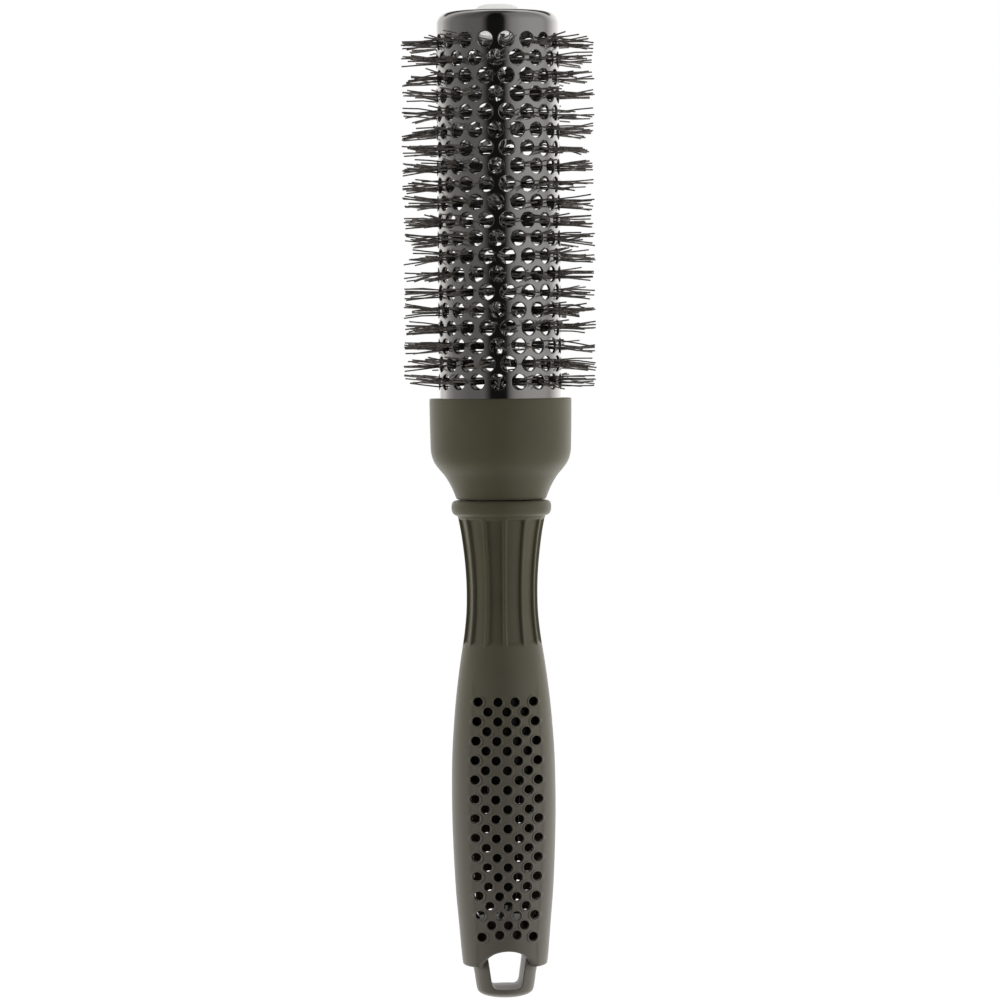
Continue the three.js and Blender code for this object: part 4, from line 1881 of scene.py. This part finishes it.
@dataclass
class Studio:
    """Pale floor, soft light round the brush, and the camera."""

    azimuth: float = -4.4
    distance: float = 1183.0
    camera_z: float = 170.2
    aim_z: float = 129.5
    aim_side: float = -0.165
    width_at_brush: float = 260.0
    roll: float = -0.485
    sensor: float = 36.0
    floor_drop: float = 76.0
    lamps: tuple[tuple[float, float], ...] = ((-82.0, 1.3), (82.0, 0.4))
    lamp_distance: float = 850.0
    lamp_size: float = 500.0
    floor_radius: float = 6000.0
    floor_grey: Spot = (0.34, 0.36)
    floor_glow: float = 0.91

    def build(self) -> None:
        """Builds floor, light and camera."""
        scene = bpy.context.scene
        scene.view_settings.view_transform = "Standard"
        self._floor()
        Room(self.azimuth).light()
        for bearing, power in self.lamps:
            self._lamp(scene, bearing, power)
        self._camera(scene)

    def _floor(self) -> None:
        """Adds a pale, softly lit round floor, which stays out of the brush's reflections.

        It lies below the brush by a little more than the loop draws out.
        """
        mesh = bpy.data.meshes.new("floor")
        work = bmesh.new()
        bmesh.ops.create_circle(work, cap_ends=True, segments=96, radius=self.floor_radius * MM)
        work.to_mesh(mesh)
        work.free()
        floor = bpy.data.objects.new("floor", mesh)
        bpy.context.scene.collection.objects.link(floor)
        floor.location.z = -self.floor_drop * MM
        floor.visible_glossy = floor.visible_diffuse = floor.visible_shadow = False
        shader = Shader("pale_floor")
        low, high = self.floor_grey
        shader.set(
            Base_Color=shader.blend(shader.noise(3.0, 2.0), [low] * 3, [high] * 3),
            Roughness=0.9,
            Specular_IOR_Level=0.0,
            Emission_Color=(1.0, 1.0, 1.0, 1.0),
            Emission_Strength=self.floor_glow,
        )
        mesh.materials.append(shader.material)

    def _lamp(self, scene: bpy.types.Scene, bearing: float, power: float) -> None:
        """Adds a wide soft lamp at one side, which lifts the matt parts and makes no reflections.

        Args:
            scene: The scene.
            bearing: Its angle from the camera's direction, in degrees; positive is to the camera's right.
            power: Its power in watts.
        """
        data = bpy.data.lights.new("side_lamp", "AREA")
        data.shape = "DISK"
        data.size = self.lamp_size * MM
        data.energy = power
        lamp = bpy.data.objects.new("side_lamp", data)
        scene.collection.objects.link(lamp)
        lamp.visible_glossy = lamp.visible_camera = False
        place = around(self.lamp_distance, self.azimuth + bearing, self.aim_z)
        lamp.location = Vector(place) * MM
        lamp.rotation_mode = "QUATERNION"
        towards = Vector((0.0, 0.0, self.aim_z)) - Vector(place)
        lamp.rotation_quaternion = towards.to_track_quat("-Z", "Y")

    def _camera(self, scene: bpy.types.Scene) -> None:
        """Adds the camera, level with the lower part of the barrel and looking slightly down.

        Args:
            scene: The scene.
        """
        data = bpy.data.cameras.new("camera")
        data.sensor_width = self.sensor
        data.lens = self.sensor * self.distance / self.width_at_brush
        data.clip_start = 0.05
        data.clip_end = 50.0
        camera = bpy.data.objects.new("camera", data)
        scene.collection.objects.link(camera)
        turn = math.radians(self.azimuth)
        side = Vector((math.cos(turn), math.sin(turn), 0.0))
        towards = Vector((math.sin(turn), -math.cos(turn), 0.0))
        eye = towards * self.distance + Vector((0.0, 0.0, self.camera_z))
        aim = side * self.aim_side + Vector((0.0, 0.0, self.aim_z))
        look = (aim - eye).to_track_quat("-Z", "Y")
        camera.location = (eye + side * self.aim_side) * MM
        camera.rotation_mode = "QUATERNION"
        camera.rotation_quaternion = look @ Quaternion((0.0, 0.0, 1.0), math.radians(self.roll))
        scene.camera = camera


# ------------------------------------------------------------------------------------------ assembly


def corners(box: tuple[Vector, Vector]) -> list[list[float]]:
    """Turns a box's two corners into plain lists."""
    return [list(box[0]), list(box[1])]


def main() -> None:
    """Builds every piece in order and reports it."""
    logging.basicConfig(level=logging.INFO, format="%(name)s: %(message)s")
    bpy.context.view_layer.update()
    Studio().build()
    shop = Paintshop()
    holes = HoleRows()
    barrel = Barrel(holes)
    shop.dress(barrel.build(), Slot.TUBE, Body.BRUSH, "barrel")
    shop.dress(EndCap().build(), Slot.CAP, Body.BRUSH, "end_cap")
    stem = Stem()
    for node, start in (("stem_wire_a", 0.0), ("stem_wire_b", 180.0)):
        shop.dress(stem.build(node, start), Slot.STEM, Body.BRUSH, node)
    bristles = Bristles(holes, barrel)
    for row in range(holes.rows):
        shop.dress(bristles.build(row), Slot.BRISTLE, Body.BRUSH, f"bristle_row_{row + 1:02d}")
    shop.dress(Cup().build(), Slot.CUP, Body.BRUSH, "barrel_cup")
    shell = GripShell(Vents())
    shop.dress(shell.build(), Slot.GRIP, Body.BRUSH, "grip_shell")
    shop.dress(NeckCore(shell).build(), Slot.CORE, Body.BRUSH, "neck_core")
    shop.dress(HangLoop().build(), Slot.LOOP, Body.PICK, "hang_loop")
    shop.dress(SectioningPick().build(), Slot.PICK, Body.PICK, "sectioning_pick")


if __name__ == "__main__":
    main()
